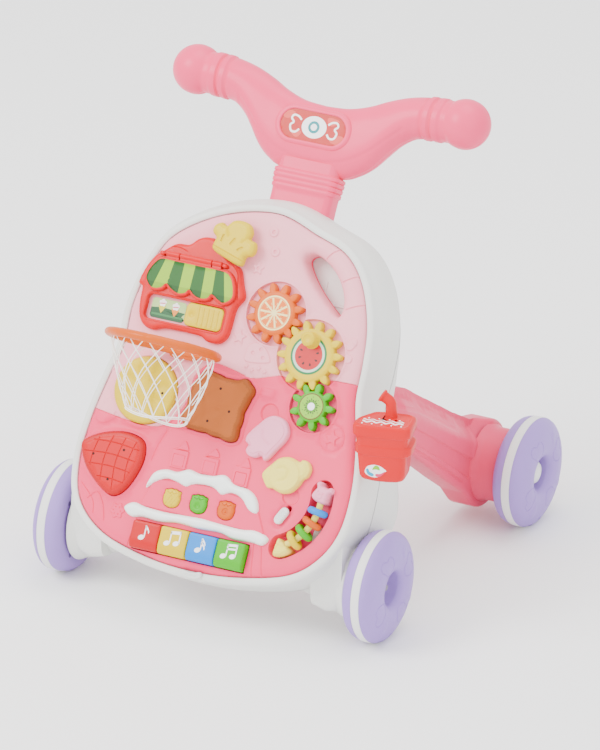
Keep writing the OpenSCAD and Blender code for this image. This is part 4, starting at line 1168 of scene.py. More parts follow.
def build_shop():
    red = own("red", 0.33, 0.2)
    dark_red = own("red", 0.36, 0.1, 0.8)
    outline = resample(smooth(SHOP, 8), 1.8)
    window = box_outline(-112, 76.4, -25.4, 101.2, 5)
    reliefs = [Relief(grow(window, 2.2), 0.9, 0.8),
               Relief(smooth([(-104, 141.5), (-34, 141.5)], 2, False), -1.2, 0.8, stroke=1.2, closed=False),
               Relief(smooth([(-33, 148), (-22, 139), (-18, 122), (-15, 113)], 8, False), -0.9, 0.7,
                      stroke=0.7, closed=False),
               Relief(smooth([(-104, 150), (-92, 152), (-82, 150)], 6, False), -0.8, 0.7, stroke=0.6,
                      closed=False)]
    shape = Shape()
    shape.add(plate(outline, 0.0, 8.0, (3.6, 3.4), holes=[(window, (1.2, 1.2))], reliefs=reliefs, cell=4),
              0, panel())
    # Window: rim, picture field, green hills and two ice creams.
    shape.add(prism(box_outline(-112.3, 76, -25, 101.6, 5), 0.2, 2.4), 2, panel())
    field = box_outline(-108.2, 78.4, -70.0, 98.8, 3.4)
    shape.add(prism(field, 2.3, 2.66), 3, panel())
    hill = np.vstack([box_outline(-108.2, 78.4, -70.0, 84, 3.4)[:14],
                      [(-70, 88.2), (-78, 88.6), (-88, 89.6), (-98, 90.0),
                     (-108.2, 88.4)], box_outline(-108.2, 78.4, -70.0, 84, 3.4)[21:]])
    shape.add(prism(hill, 2.5, 2.76), 4, panel())
    shape.add(prism(box_outline(-106.6, 81.4, -71.6, 83.4, 0.9), 2.6, 2.84), 5, panel())
    for x, v, tone in ((-96.5, 90.4, 6), (-81.4, 89.0, 7)):
        shape.add(prism(smooth([(x - 4, v + 1.2), (x, v + 1.8), (x + 4, v + 1.2), (x + 0.6, v - 5.4),
                                (x - 0.6, v - 5.4)], 3),
                        2.7, 2.92), tone, panel())
        shape.add(prism(blob(x, v + 4.2, 3.7, 5, 0.13, 90), 2.7, 2.96), 8, panel())
        shape.add(prism(pill(x, v + 3.6, 6, 1.1, 8), 2.8, 3.02), 9, panel())
    # Hinge: fixed bar with two bearing blocks.
    shape.add(tube([(-109, 143.3, 10.2), (-35, 143.3, 10.2)], 1.15, 12), 1, panel())
    for x in (-106.5, -36.5):
        shape.add(plate(box_outline(x - 2.6, 140.8, x + 2.6, 145.2, 1.2), 6.5, 11.8, (1.6, 1.6), cell=2),
                  0, panel())
    materials = [red, dark_red, own("pale", 0.4, 0.0, 0.86),
                 plastic("print_pale_green", (0.4, 0.62, 0.2), 0.3, 0.4),
                 plastic("print_hill", (0.005, 0.085, 0.018), 0.3, 0.4),
                 plastic("print_path", (0.03, 0.2, 0.05), 0.3, 0.4),
                 plastic("print_cone_1", (0.6, 0.55, 0.01), 0.3, 0.4),
                 plastic("print_cone_2", (0.72, 0.24, 0.01), 0.3, 0.4),
                 plastic("print_white", (0.93, 0.93, 0.93), 0.3, 0.3),
                 plastic("print_blush", (0.6, 0.1, 0.14), 0.3, 0.4)]
    piece("shop_front_skin", shape, materials, "play_panel", ["shop_front"])

    # Awning: a red frame round a striped field, with a hinge barrel.
    field = np.array(AWNING_GREEN)
    smooth_field = resample(smooth(field, 5), 1.0)
    frame_line = grow(smooth_field, 2.6)
    frame_line[:, 1] = np.minimum(frame_line[:, 1], 139.2)
    tops = [-101.3, -91.1, -79.7, -67.4, -55.9, -44.5, -35.2]
    feet = [-109.0, -93.9, -79.5, -67.6, -53.8, -42.4, -27.0]

    def stripes_and_scallop_shade(mid):
        edges = [t + (f - t) * np.clip((137 - mid[:, 1]) / 30, 0, 1.1) for t, f in zip(tops, feet)]
        number = sum((mid[:, 0] > e).astype(int) for e in edges)
        # Faces below v 113.2, on the scallops, take the darker copies of the two greens: painted shade.
        tone = np.where(number % 2 == 0, 1, 2) + np.where(mid[:, 1] < 113.2 , 2, 0)
        return np.where(inside(mid, smooth_field), tone, 0)

    lines = [[(t, 139.5), (f, 106.0 if i % 2 == 0 else 112.0)] for i, (t, f) in enumerate(zip(tops, feet))]
    cuts = []
    for (top_x, _), (foot_x, foot_v) in lines:
        run = np.linspace(0, 1, 24)
        cut = np.c_[top_x + (foot_x - top_x) * run, 136.9 + (foot_v + 0.9 - 136.9) * run]
        cuts.append(cut[inside(cut, grow(smooth_field, -0.5))])
    awning = Shape()
    awning.add(plate(frame_line, 8.4, 12.2, (1.5, 1.5), reliefs=[Relief(smooth_field, -1.0, 0.4),
                     Relief([(-117, 113.2), (-20, 113.2)], -0.2, 0.3, stroke=0.35, closed=False)],
                     lines=cuts, paint=stripes_and_scallop_shade, cell=2.6), 0, panel())
    for x0, x1 in ((-101.5, -86.9), (-86.1, -50.6), (-49.8, -39.6)):
        awning.add(tube([(x0, 143.5, 10.6), (x0 + 0.5, 143.5, 10.6), (x1 - 0.5, 143.5, 10.6),
                         (x1, 143.5, 10.6)],
                        [2.1, 2.6, 2.6, 2.1], 24), 0, panel())
        awning.add(prism(box_outline(x0 + 0.3, 137.6, x1 - 0.3, 143.2, 0.6), 8.8, 11.2), 0, panel())
    # The last two are darker copies of the greens: painted shade on the scallops.
    materials = [red, own("dark_green", 0.4, 0.15), own("light_green", 0.4, 0.15),
                 own("dark_green", 0.4, 0.15, 0.72),
                 own("light_green", 0.4, 0.15, 0.78)]
    piece("awning_flap", awning, materials, "awning", ["awning"])

    slider = Shape()
    x0, x1, v0, v1 = -67.4, -25.4, 76.4, 101.2
    ribs = [Relief([(-52.5 + 5.4 * k, 80.5 - k * 0.2), (-53.5 + 5.4 * k, 97.2)], 0.9, 0.8, stroke=1.3,
                   closed=False)
            for k in range(5)]
    ribs.append(Relief(circle(-60, 88.6, 3.2, 30), -0.9, 1.6))
    slider.add(plate(box_outline(x0, v0 + 0.6, x1 - 0.2, v1 - 0.6, 5), 3.2, 8.9, (1.6, 1.6), reliefs=ribs,
                     cell=3),
               0, panel())
    piece("window_slider_skin", slider, [own("yellow", 0.34, 0.2)], "window_slider",
          ["window_slider"])

    hat = Shape()
    crest = [(-53, 157.5), (-52, 169), (-57, 174), (-56, 181), (-49, 185), (-43.5, 182.5), (-37, 189),
             (-27, 190.5), (-18, 187.5), (-14.2, 180), (-15, 174), (-8.5, 171.5), (-6.5, 164), (-9, 158),
             (-15.5, 155.5), (-18.5, 146), (-36, 150)]
    line = resample(smooth(crest, 7), 1.2)
    folds = [Relief(pill(-43.5, 169.7, 8.5, 2.8, 80), -1.3, 1.4, dome=True),
             Relief(pill(-31.5, 168.3, 9.5, 3.2, 58), -1.3, 1.4, dome=True),
             Relief(pill(-22.2, 162.4, 8, 2.8, 34), -1.3, 1.4, dome=True),
             Relief([(-52, 161), (-36, 156.5), (-17, 151.0)], -0.9, 0.9, stroke=0.9, closed=False),
             Relief(smooth([(-42, 184), (-40, 177), (-38, 173)], 5, False), -0.6, 1.2, stroke=1.2,
                    closed=False),
             Relief(smooth([(-14.5, 176), (-19, 172), (-22, 169)], 5, False), -0.6, 1.2, stroke=1.2,
                    closed=False)]
    hat.add(plate(line, 8.6, 16.2, (5.0, 4.2), reliefs=folds, cell=2.6), 0, panel())
    piece("chef_hat_skin", hat, [own("yellow", 0.33, 0.2)], "chef_hat", ["chef_hat"])


# ---------------------------------------------------------------- hoop and net

HOOP = np.array([-57.0, 50.5, 62.0])
HOOP_R = 54.5


def build_hoop():
    shape = Shape()
    n = 200
    a = np.arange(n) * 2 * math.pi / n
    path = HOOP + np.c_[HOOP_R * np.cos(a), np.zeros(n), HOOP_R * np.sin(a)]
    degrees = np.degrees(a)
    radius = np.full(n, 5.4)
    for seam in (0, 60, 120, 180, 240, 300):
        gap = np.abs((degrees - seam - 22 + 180) % 360 - 180)
        radius = radius - 0.45 * np.exp(-(gap / 1.6) ** 2) + 0.35 * (gap < 24) * (seam in (0, 180))
    rings = []
    b = np.arange(20) * 2 * math.pi / 20
    for i in range(n):
        out = np.array([math.cos(a[i]), 0, math.sin(a[i])])
        rings.append(path[i] + radius[i] * (np.cos(b)[:, None] * out + 0.84 * np.sin(b)[:,
                None] * np.array([0, 1.0, 0])))
    rings.append(rings[0])
    shape.add(loft(rings, caps=(False, False)), 0, panel())
    shape.add(plate(box_outline(-75, 43.5, -45, 56.5, 4), 0.2, 9.0, (2.5, 2.5), cell=3), 0, panel())
    piece("hoop_ring", shape, [own("orange", 0.3, 0.3)], "play_panel", ["hoop"])

    # Net: two families of strings that cross, and a hem cord.
    net = Shape()
    r = settings().string * 500
    low = np.array([-57.0, -19.0, 36.0])

    def spot(angle, t):
        radius = 53.0 + (32.0 - 53.0) * t ** 1.5
        middle = HOOP + (low - HOOP) * t
        sag = 1.2 * math.sin(3 * angle) * t
        return middle + [(radius + sag) * math.cos(angle), 3.5 * math.cos(2 * angle) * t,
                         (radius + sag) * math.sin(angle)]

    strings, rows = 15, 28
    spin_by = 2 * math.pi / strings * 2.5
    for k in range(strings):
        start = 2 * math.pi * (k + 0.5) / strings
        for spin in (-1, 1):
            path = []
            for i in range(rows + 1):
                t = i / rows
                point = spot(start + spin * spin_by * (t + 0.05 * math.sin(math.pi * t)), t)
                out = np.array([math.cos(start + spin * spin_by * t), 0,
                                math.sin(start + spin * spin_by * t)])
                path.append(point + out * 0.4 * spin * math.cos(math.pi * 5 * t))
            net.add(tube(path, r, 6), 0, panel())
    for shift, size in ((0.0, 1.5), (1.6, 1.0)):
        hem = [spot(2 * math.pi * i / 90, 1.0) - [0, shift, 0] for i in range(90)]
        net.add(tube(hem, r * size, 8, closed=True), 0, panel())
    piece("net_strings", net, [plastic("net_string", (0.9, 0.86, 0.8), 0.55)], "play_panel",
          ["net"])


# ---------------------------------------------------------------- gears

def build_gears():
    ink = {
        "dark_green": plastic("print_rind", (0.005, 0.17, 0.045), 0.3, 0.3),
        "pale_rind": plastic("print_pale_rind", (0.5, 0.66, 0.52), 0.3, 0.3),
        "melon": plastic("print_melon", (0.52, 0.008, 0.012), 0.3, 0.3),
        "seed": plastic("print_seed", (0.02, 0.014, 0.012), 0.3, 0.3),
        "cream": plastic("print_cream", (0.92, 0.76, 0.32), 0.3, 0.3),
        "pulp": plastic("print_pulp", (0.78, 0.15, 0.003), 0.3, 0.3),
        "peel": plastic("print_peel", (0.13, 0.04, 0.01), 0.3, 0.3),
        "kiwi": plastic("print_kiwi", (0.22, 0.5, 0.012), 0.3, 0.3),
        "kiwi_dark": plastic("print_kiwi_dark", (0.1, 0.3, 0.008), 0.3, 0.3),
        "white": plastic("print_white", (0.93, 0.93, 0.93), 0.3, 0.3),
    }
    for kind, tone, slot in (("yellow", own("yellow", 0.35, 0.15), "button_yellow"),
                             ("orange", own("orange", 0.36, 0.1, 1.06), "gear_orange"),
                             ("green", own("leaf", 0.36, 0.1), "gear_green")):
        x, v, teeth, phase = gear_place(kind)
        place = panel(x, v, 0)
        shape = Shape()
        outline = gear_outline(teeth, phase)
        root = MODULE * teeth / 2 - MODULE
        reliefs = [Relief(circle(0, 0, root * 0.97, 72), 0.5, 1.2)]
        shape.add(plate(outline, -3.4, 5.6, (1.1, 1.2), reliefs=reliefs, cell=2.6, bottom=False), 0, place)
        materials = [tone]
        top = 6.1

        def layer(line, level, name):
            if ink[name] not in materials:
                materials.append(ink[name])
            shape.add(prism(line, top - 0.25, top + 0.06 * level), materials.index(ink[name]), place)

        if kind == "yellow":
            layer(circle(0, 0, 19.6, 72), 1, "dark_green")
            layer(circle(0, 0, 17.4, 72), 2, "pale_rind")
            layer(circle(0, 0, 14.9, 72), 3, "melon")
            for k in range(8):
                a = 112.5 + 45 * k
                seed = smooth([(0, 1.9), (1.1, -0.4), (0, -1.5), (-1.1, -0.4)], 4)
                spot = (9.8 * math.cos(math.radians(a)), 9.8 * math.sin(math.radians(a)))
                layer(turned(seed, a + 90) + spot, 4, "seed")
            peg = [(9.0, 5.9), (8.2, 6.6), (7.6, 8.0), (7.5, 16.2), (7.1, 17.6), (6.0, 18.5), (4.6, 18.8),
                   (3.9, 18.3), (3.0, 18.0), (0.05, 17.9)]
            shape.add(lathe(peg, 48), 0, panel(x, v + 15, 0))
        elif kind == "orange":
            layer(circle(0, 0, 17.6, 72), 1, "cream")
            layer(circle(0, 0, 16.0, 72), 2, "pulp")
            layer(circle(0, 0, 15.4, 72), 2.4, "cream")
            for k in range(10):
                a0, a1 = 36 * k + 4, 36 * k + 32
                wedge = [(15.1 * math.cos(math.radians(a)), 15.1 * math.sin(math.radians(a)))
                         for a in np.linspace(a0, a1, 8)]
                mid = math.radians((a0 + a1) / 2)
                wedge.append((2.6 * math.cos(mid), 2.6 * math.sin(mid)))
                layer(np.array(wedge), 3.4, "pulp")
                for r0, off in ((9.5, -7), (6.5, 5)):
                    a = mid + math.radians(off)
                    dash = pill(r0 * math.cos(a), r0 * math.sin(a), 2.2, 0.5, math.degrees(a), 4)
                    layer(dash, 4.2, "cream")
        else:
            layer(circle(0, 0, 13.4, 60), 1, "peel")
            layer(circle(0, 0, 12.3, 60), 2, "kiwi")
            layer(blob(0, 0, 6.8, 18, 0.10), 3, "kiwi_dark")
            for k in range(18):
                a = math.radians(20 * k)
                r0 = 7.4 if k % 2 else 6.0
                layer(pill(r0 * math.cos(a), r0 * math.sin(a), 1.7, 0.8, 20 * k, 4), 4, "seed")
            for k in range(9):
                a = math.radians(40 * k + 10)
                layer(pill(9.6 * math.cos(a), 9.6 * math.sin(a), 1.1, 0.5, 40 * k, 4), 4, "seed")
            layer(circle(0, 0, 3.9, 40), 4.5, "white")
        piece(kind + "_gear_skin", shape, materials, kind + "_gear", [kind + "_gear"])


# ---------------------------------------------------------------- drums, knobs, keys

# Dark discs set on a face; the drums use them as painted shade where their holes are.
def dots(shape, places, top, paint, place, r=1.35):
    for x, y in places:
        shape.add(prism(circle(x, y, r, 18), top - 1.2, top + 0.06), paint, place)


def build_drums():
    # Near-black discs on the drums: painted shade standing in for the drum holes.
    hole = plastic("dark_hole", (0.03, 0.012, 0.01), 0.6)
    shape = Shape()
    x, v, r = PINEAPPLE
    wedges = []
    for k in range(8):
        wedge = smooth([(9, -1.5), (18, -5.5), (26, -4), (26, 4), (18, 5.5), (9, 1.5)], 5)
        wedges.append(Relief(turned(wedge, 20 + 45 * k), -0.9, 3.5))
    shape.add(plate(circle(0, 0, r, 96), -6.8, 8.2, (3.6, 3.6), reliefs=wedges, cell=3.2), 0,
              panel(x, v, 0))
    dots(shape, ((-94, 27.6), (-115.7, 5.9), (-70.9, 5.7), (-92.7, -16.2)), 8.2, 1, panel())
    piece("pineapple_drum_skin", shape, [own("yellow", 0.36, 0.12, 0.97), hole], "pineapple_drum",
          ["pineapple_drum"])

    shape = Shape()
    line = biscuit_line()
    lumps = [Relief(blob(a, b, 9, 3, 0.2, 40 * a), 0.25, 6) for a,
             b in ((-22, 10), (2, 12), (-8, -8), (8, -6))]
    lumps.append(Relief(circle(-7, 3, 2.2, 20), 0.4, 1.2))
    # Faces within 4.2 mm of the outline take a darker copy of the brown: painted shade on the chamfered
    # edge.
    shape.add(plate(line, -6.8, 10.2, (5.2, 4.6), reliefs=lumps, cell=3.2,
                    paint=lambda mid: (~inside(mid, grow(line, -4.2))).astype(int)), 0, panel())
    dots(shape, ((-8.7, 22.7), (-29.3, 9.1), (6.2, 2.1), (-14.5, -11.6)), 10.25, 2, panel())
    piece("biscuit_drum_skin", shape, [own("brown", 0.55, 0.0, 1.02), own("brown", 0.5, 0.0, 0.80), hole],
          "biscuit_drum", ["biscuit_drum"])

    shape = Shape()
    line = resample(smooth(STRAWBERRY, 8), 1.6)
    inner = grow(line, -5.0)
    grid = []
    for a in (-128, -114.5, -101, -88):
        grid.append([(a + 5, -38), (a - 2, -70), (a + 1, -104)])
    for b in (-54, -66, -78, -90):
        grid.append([(-146, b - 1), (-110, b + 1.5), (-76, b - 2)])
    waffle = []
    for strand in grid:
        fine = resample(smooth(strand, 12, False), 0.8, False)
        fine = fine[inside(fine, inner)]
        if len(fine) > 3:
            waffle.append(Relief(fine, -0.8, 0.55, stroke=0.65, closed=False))
    waffle.append(Relief(inner, 0.5, 0.8))
    # Faces within 4.4 mm of the outline take a darker copy of the berry red: painted shade on the rounded
    # edge.
    shape.add(plate(line, -6.8, 7.8, (3.4, 3.4), reliefs=waffle, cell=3.4,
                    paint=lambda mid: (~inside(mid, grow(line, -4.4))).astype(int)), 0, panel())
    dots(shape, ((-129, -68), (-97, -58), (-107, -90)), 8.3, 2, panel())
    piece("strawberry_drum_skin", shape, [own("berry", 0.38, 0.1), own("berry", 0.38, 0.1, 0.84), hole],
          "strawberry_drum", ["strawberry_drum"])


def build_knobs():
    shape = Shape()
    lolly = [(29, -17), (34, -9), (39, -3), (46, 5), (55, 8.5), (66, 5.5), (72.5, -4), (71, -14), (64, -25),
             (57.5, -35), (53.5, -37.5), (51, -34.5), (48.5, -33.5), (43, -36.5), (36, -36), (31.5, -31.5),
             (33, -25.5), (29, -22.5)]
    line = resample(smooth(lolly, 7), 1.4)
    reliefs = [Relief(grow(line, -3.4), 0.9, 0.9),
               Relief(smooth([(46, -8), (48, -16), (55, -21)], 6, False), -0.5, 0.8,
                                                         stroke=1.0, closed=False)]
    shape.add(plate(line, 0.5, 7.2, (2.6, 2.6), reliefs=reliefs, cell=3), 0, panel())
    piece("popsicle_knob", shape, [own("lolly", 0.36, 0.12)], "popsicle", ["popsicle"])

    shape = Shape()
    candy = [(62, -40), (57.5, -45.5), (55, -51.5), (59, -58), (64, -63), (69, -62.5), (80, -65.5),
             (90, -62.5), (97, -54), (99.5, -48), (104, -44), (105.5, -36), (101, -29.5), (94.5, -28.5),
             (91.5, -31), (80, -28.5), (69, -32)]
    line = resample(smooth(candy, 7), 1.4)
    reliefs = [Relief(circle(80, -47, 17.2, 60), 1.6, 1.6),
               Relief(grow(line, -3.0), 0.7, 0.9),
               Relief(smooth([(72, -42), (78, -40), (84, -44), (82, -51), (76, -54)], 6, False), -0.6, 1.0,
                      stroke=1.2, closed=False)]
    shape.add(plate(line, 0.5, 6.6, (2.6, 2.6), reliefs=reliefs, cell=3), 0, panel())
    piece("candy_knob", shape, [own("candy", 0.36, 0.12, 1.02)], "candy", ["candy"])

    shape = Shape()
    ribs = [Relief([(x, -3.2), (x, 3.2)], 0.8, 0.6, stroke=0.8, closed=False)
            for x in (-5, -2.5, 0, 2.5, 5)]
    shape.add(plate(pill(0, 0, 19, 9.6, 0, 12), 0.5, 3.6, (1.8, 1.8), reliefs=ribs, cell=1.6), 0,
              panel(SWITCH[0], SWITCH[1], 0, SWITCH[2]))
    shape.add(prism(pill(0, 0, 14.6, 5.6, 0, 8), -5.8, 0.6), 0, panel(SWITCH[0], SWITCH[1], 0, SWITCH[2]))
    piece("mode_switch_skin", shape, [own("tyre", 0.4)], "mode_switch", ["mode_switch"])

    shape = Shape()
    tab = smooth([(-7.5, -160.6), (3, -161.5), (13.5, -159.6), (13.6, -165.6), (3, -168), (-6.5, -166.2)],
                 7)
    shape.add(plate(resample(tab, 1.2), -2.6, 1.0, (1.3, 1.3), cell=2, reliefs=[
        Relief([(-3, -164.6), (9, -164.2)], 0.6, 0.5, stroke=0.7, closed=False)]), 0, panel())
    piece("panel_latch_tab", shape, [own("white", 0.36, 0.1, 0.94)], "panel_latch",
          ["panel_latch"])


def note(kind):
    """Outlines of a small music sign."""
    head = turned(circle(0, 0, 2.6, 24) * [1.25, 0.9], 22)
    stem = [(2.3, 0.4), (3.5, 0.4), (3.5, 12), (2.3, 12)]
    flag = [(2.4, 12.2), (5.2, 9.8), (7.0, 6.6), (6.4, 4.6), (5.4, 7.4), (2.4, 9.6)]
    if kind == 0:
        return [head, stem, smooth(flag, 4)]
    if kind == 1:
        shift = [9.6, 1.2]
        return [head, stem, head + shift, np.array(stem) + shift,
                np.array([(2.3, 9.2), (13.1, 10.4), (13.1, 13.4), (2.3, 12.2)])]
    if kind == 2:
        return [head, stem, smooth(flag, 4), smooth(np.array(flag) - [0, 3.6], 4)]
    return [head, stem, head + [9.6, 1.2], np.array(stem) + [9.6, 1.2],
            np.array([(2.3, 9.8), (13.1, 11.0), (13.1, 13.4), (2.3, 12.2)]),
            np.array([(2.3, 6.4), (13.1, 7.6), (13.1, 9.4), (2.3, 8.2)])]


def build_keys():
    white = plastic("print_white", (0.93, 0.93, 0.93), 0.3, 0.3)
    keys = (("berry", "berry_red", 0.93), ("yellow", "button_yellow", 1.0), ("sky", "key_blue", 1.0),
            ("leaf", "gear_green", 1.0))
    for number, (key, slot, shade) in enumerate(keys):
        shape = Shape()
        x = KEY_X + number * KEY_PITCH
        line = box_outline(x + 0.35, KEY_LOW + 0.3, x + KEY_PITCH - 0.35, KEY_HIGH - 0.3, 2.2)

        def slope(points):
            t = np.clip((points[:, 1] - KEY_LOW) / (KEY_HIGH - KEY_LOW), 0, 1)
            return 8.6 - 3.2 * np.clip((0.30 - t) / 0.30, 0,
                                       1) ** 1.8 + 0.3 * np.cos((points[:, 0] - x - 15.8) / 8)

        shape.add(plate(line, -5.8, 8, (1.8, 1.8), base=slope, cell=2.6), 0, panel())
        wide = 13 if number in (1, 3) else 7
        for sign in note(number):
            pts = np.asarray(sign, float) * 1.05 + [x + KEY_PITCH / 2 - wide / 2 + 1.0, -139.0]
            flat = prism(pts, 8.3, 8.98)
            shape.add(flat, 1, panel())
        piece("key_%d_cap" % (number + 1), shape, [own(key, 0.33, 0.2, shade), white],
              "key_%d" % (number + 1),
              ["key_%d" % (number + 1)])
    for number, (key, slot) in enumerate((("yellow", "button_yellow"), ("leaf", "gear_green"),
                                          ("orange", "hoop_orange"))):
        shape = Shape()
        x, v = BUTTONS[number]
        line = resample(FRUIT, 1.0)
        reliefs = [Relief([(-5, 6), (-1.8, 4.2), (0, 6.4), (1.8, 4.2), (5, 6)], -0.7, 0.5, stroke=0.5,
                          closed=False)]
        if number == 0:
            reliefs += [Relief([(a, -7), (a + 5, 3)], -0.4, 0.4, stroke=0.4, closed=False)
                        for a in (-5, -1.5, 2)]
        elif number == 1:
            reliefs += [Relief(circle(0, -2.2, 3.2, 24), -0.8, 1.2)]
        else:
            reliefs += [Relief(circle(0, -1.5, 3.6, 24), -1.0, 0.8),
                        Relief(circle(0, -1.5, 1.5, 16), 1.0, 0.8)]
        shape.add(plate(line, -5.8, 4.4, (2.6, 2.6), reliefs=reliefs, cell=1.8), 0, panel(x, v, 0))
        piece("fruit_button_%d_cap" % (number + 1), shape, [own(key, 0.33, 0.2)],
              "fruit_button_%d" % (number + 1),
              ["fruit_button_%d" % (number + 1)])


# ---------------------------------------------------------------- cup

def cup_ring(width, depth, z, bulge=0.0):
    """Section of the cup: round corners, and a slant at the back beside the body."""
    x, y = width / 2, depth / 2
    pts = [(-x, -y + 7), (-x + 2.2, -y + 2.2), (-x + 8, -y), (0, -y - 0.8), (x - 8, -y),
           (x - 2.2, -y + 2.2), (x + bulge, -y + 8), (x + bulge, y - 8), (x - 2.2, y - 2.2), (x - 8, y),
           (0, y), (-x * 0.42, y - 1), (-x * 0.62, y - 6), (-x * 0.94, -y + 17)]
    line = smooth(pts, 7)
    return np.c_[line, np.full(len(line), z)]


def build_cup():
    red = own("red", 0.34, 0.2)
    print_white = plastic("print_white", (0.93, 0.93, 0.93), 0.3, 0.3)
    a = math.radians(14)
    place = frame_at([182, -145, 168], [math.cos(a), math.sin(a), 0], [-math.sin(a), math.cos(a), 0])
    shape = Shape()
    rings = []
    for z, w, d, bulge in ((12, 30, 22, 0), (12.4, 37, 27, 0), (14, 43, 30.5, 0), (17, 46, 32.5, 0),
                           (22, 47.4, 33, 0), (40, 50, 34, 0), (41, 50.6, 34.4, 0.4), (41.8, 53, 35.6, 1.6),
                           (42.6, 54, 36, 2.2), (50, 54.4, 36.2, 2.2), (51, 54, 36, 1.8),
                           (51.8, 52.6, 35, 0.6), (52.6, 52.4, 35, 0), (60, 53.4, 35.4, 0),
                           (61, 55, 36.2, 0.4), (62, 57.4, 37.4, 0.4), (63, 58.4, 38, 0.4),
                           (69.6, 58.8, 38.2, 0.4), (71.8, 57.8, 37.4, 0), (73.2, 55.6, 35.8, 0),
                           (73.8, 52, 33, 0), (73.2, 50, 31.4, 0), (73.0, 46, 28, 0), (73.5, 20, 12, 0),
                           (73.6, 4, 3, 0)):
        rings.append(cup_ring(w, d, z, bulge))
    shape.add(loft(rings), 0, place)
    # Straw with a rolled rim at its open end.
    lean = math.radians(56)
    foot, reach = np.array([4.5, 9.0, 70.0]), 8.0
    path = [foot, foot + [0, 0, 5.5], foot + [0, 0, 15.0]]
    aim = [(0, 0, 1.0)] * 3
    radii = [6.6, 5.9, 5.5]
    for k in range(1, 11):
        t = lean * k / 10
        path.append(foot + [-reach * (1 - math.cos(t)), 0, 15.0 + reach * math.sin(t)])
        aim.append((-math.sin(t), 0, math.cos(t)))
        radii.append(5.5)
    end, direction = path[-1], np.array(aim[-1])
    for d, r in ((2.5, 5.5), (4.6, 5.7), (5.2, 6.4), (6.6, 6.8), (7.6, 6.5), (7.8, 5.2), (6.4, 4.5),
                 (-2.0, 4.3)):
        path.append(end + direction * d)
        aim.append(tuple(direction))
        radii.append(r)
    rings = []
    b = np.arange(32) * 2 * math.pi / 32
    for point, along, r in zip(path, aim, radii):
        across = np.cross(along, [0, 1.0, 0])
        rings.append(point + r * (np.cos(b)[:, None] * across + np.sin(b)[:, None] * np.array([0, 1.0, 0])))
    shape.add(loft(rings), 0, place)
    # Printed icing on the lid.
    for y0, width, wave in ((-3.0, 0.9, 1.1), (-7.6, 1.9, 1.5)):
        xs = np.linspace(-21, 20, 55)
        line = np.c_[xs, y0 + wave * np.cos((xs + 21) / 41 * 2 * math.pi * 4.3)]
        shape.add(ribbon(line, width, 72.8, 73.75), 1, place)
    for k in range(5):
        if k < 4:
            shape.add(prism(circle(-16 + 10.3 * k, 0.6, 0.85, 14), 72.8, 73.75), 1, place)
        shape.add(prism(circle(-20.4 + 9.9 * k, -12.0, 0.85, 14), 72.6, 73.7), 1, place)
    # Oval sticker low on the front face.
    low_face = place @ frame_at([-3.5, -17.0, 14.2], [1, 0, 0], [0, 0, 1])
    oval = smooth([(-12.5, 9), (-10.5, 14.5), (-4.5, 17.3), (2.5, 16.6), (9.0, 12.0), (6, 10.2), (2.5, 5.5),
                   (-3, 4.0), (-9, 5.4)], 6)
    shape.add(prism(oval, -1.5, 0.9), 1, low_face)
    shape.add(prism(smooth([(-5, 12.2), (-2, 16.8), (1.6, 16), (2.6, 12.2), (-1, 12.8)], 5), -0.2, 1.05),
              2, low_face)
    shape.add(prism(smooth([(-11.3, 11.6), (-9.2, 12.8), (-7.6, 9.6), (-3.6, 7.4), (-4.6, 5), (-9.4, 6.6)],
                           5), -0.2, 1.05), 3, low_face)
    shape.add(prism(smooth([(-1.6, 7.6), (3, 8.4), (8.2, 11.4), (5.4, 7.6), (2, 5), (-1.2, 5.2)], 5), -0.2,
                    1.05), 4, low_face)
    materials = [red, print_white, plastic("print_lime", (0.21, 0.50, 0.01), 0.3, 0.3),
                 plastic("print_aqua", (0.006, 0.30, 0.50), 0.3, 0.3),
                 plastic("print_rose_pink", (0.72, 0.025, 0.12), 0.3, 0.3)]
    piece("cup_skin", shape, materials, "cup", ["cup"])


# ---------------------------------------------------------------- pieces kept from the frame

def build_kept():
    finishes = {
        # The front axle's steel is darkened to about half the rear axles' tone: painted shade for the axle
        # seen in shadow through the front wheels' holes.
        "front_axle": metal("axle_steel_dark", (0.30, 0.29, 0.31), 0.35),
        "rear_axles": metal("axle_steel", (0.60, 0.60, 0.62), 0.32),
        "frame_screws": metal("screw_steel", (0.62, 0.62, 0.63), 0.3),
        "panel_screws": metal("screw_steel", (0.62, 0.62, 0.63), 0.3),
        "panel_back_cover": own("pink", 0.42, 0.0, 0.93),
        "battery_door": own("pink", 0.42, 0.0, 0.90),
        "batteries": metal("battery_case", (0.45, 0.45, 0.48), 0.28),
        "circuit_board": plastic("circuit_board", (0.02, 0.19, 0.06), 0.45, 0.2),
        "speaker": plastic("speaker_black", (0.03, 0.03, 0.035), 0.55),
        "gear_spindles": own("pale", 0.4, 0.0),
    }
    for name, material in finishes.items():
        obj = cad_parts[name]
        obj.data.materials.clear()
        obj.data.materials.append(material)


# ---------------------------------------------------------------- studio

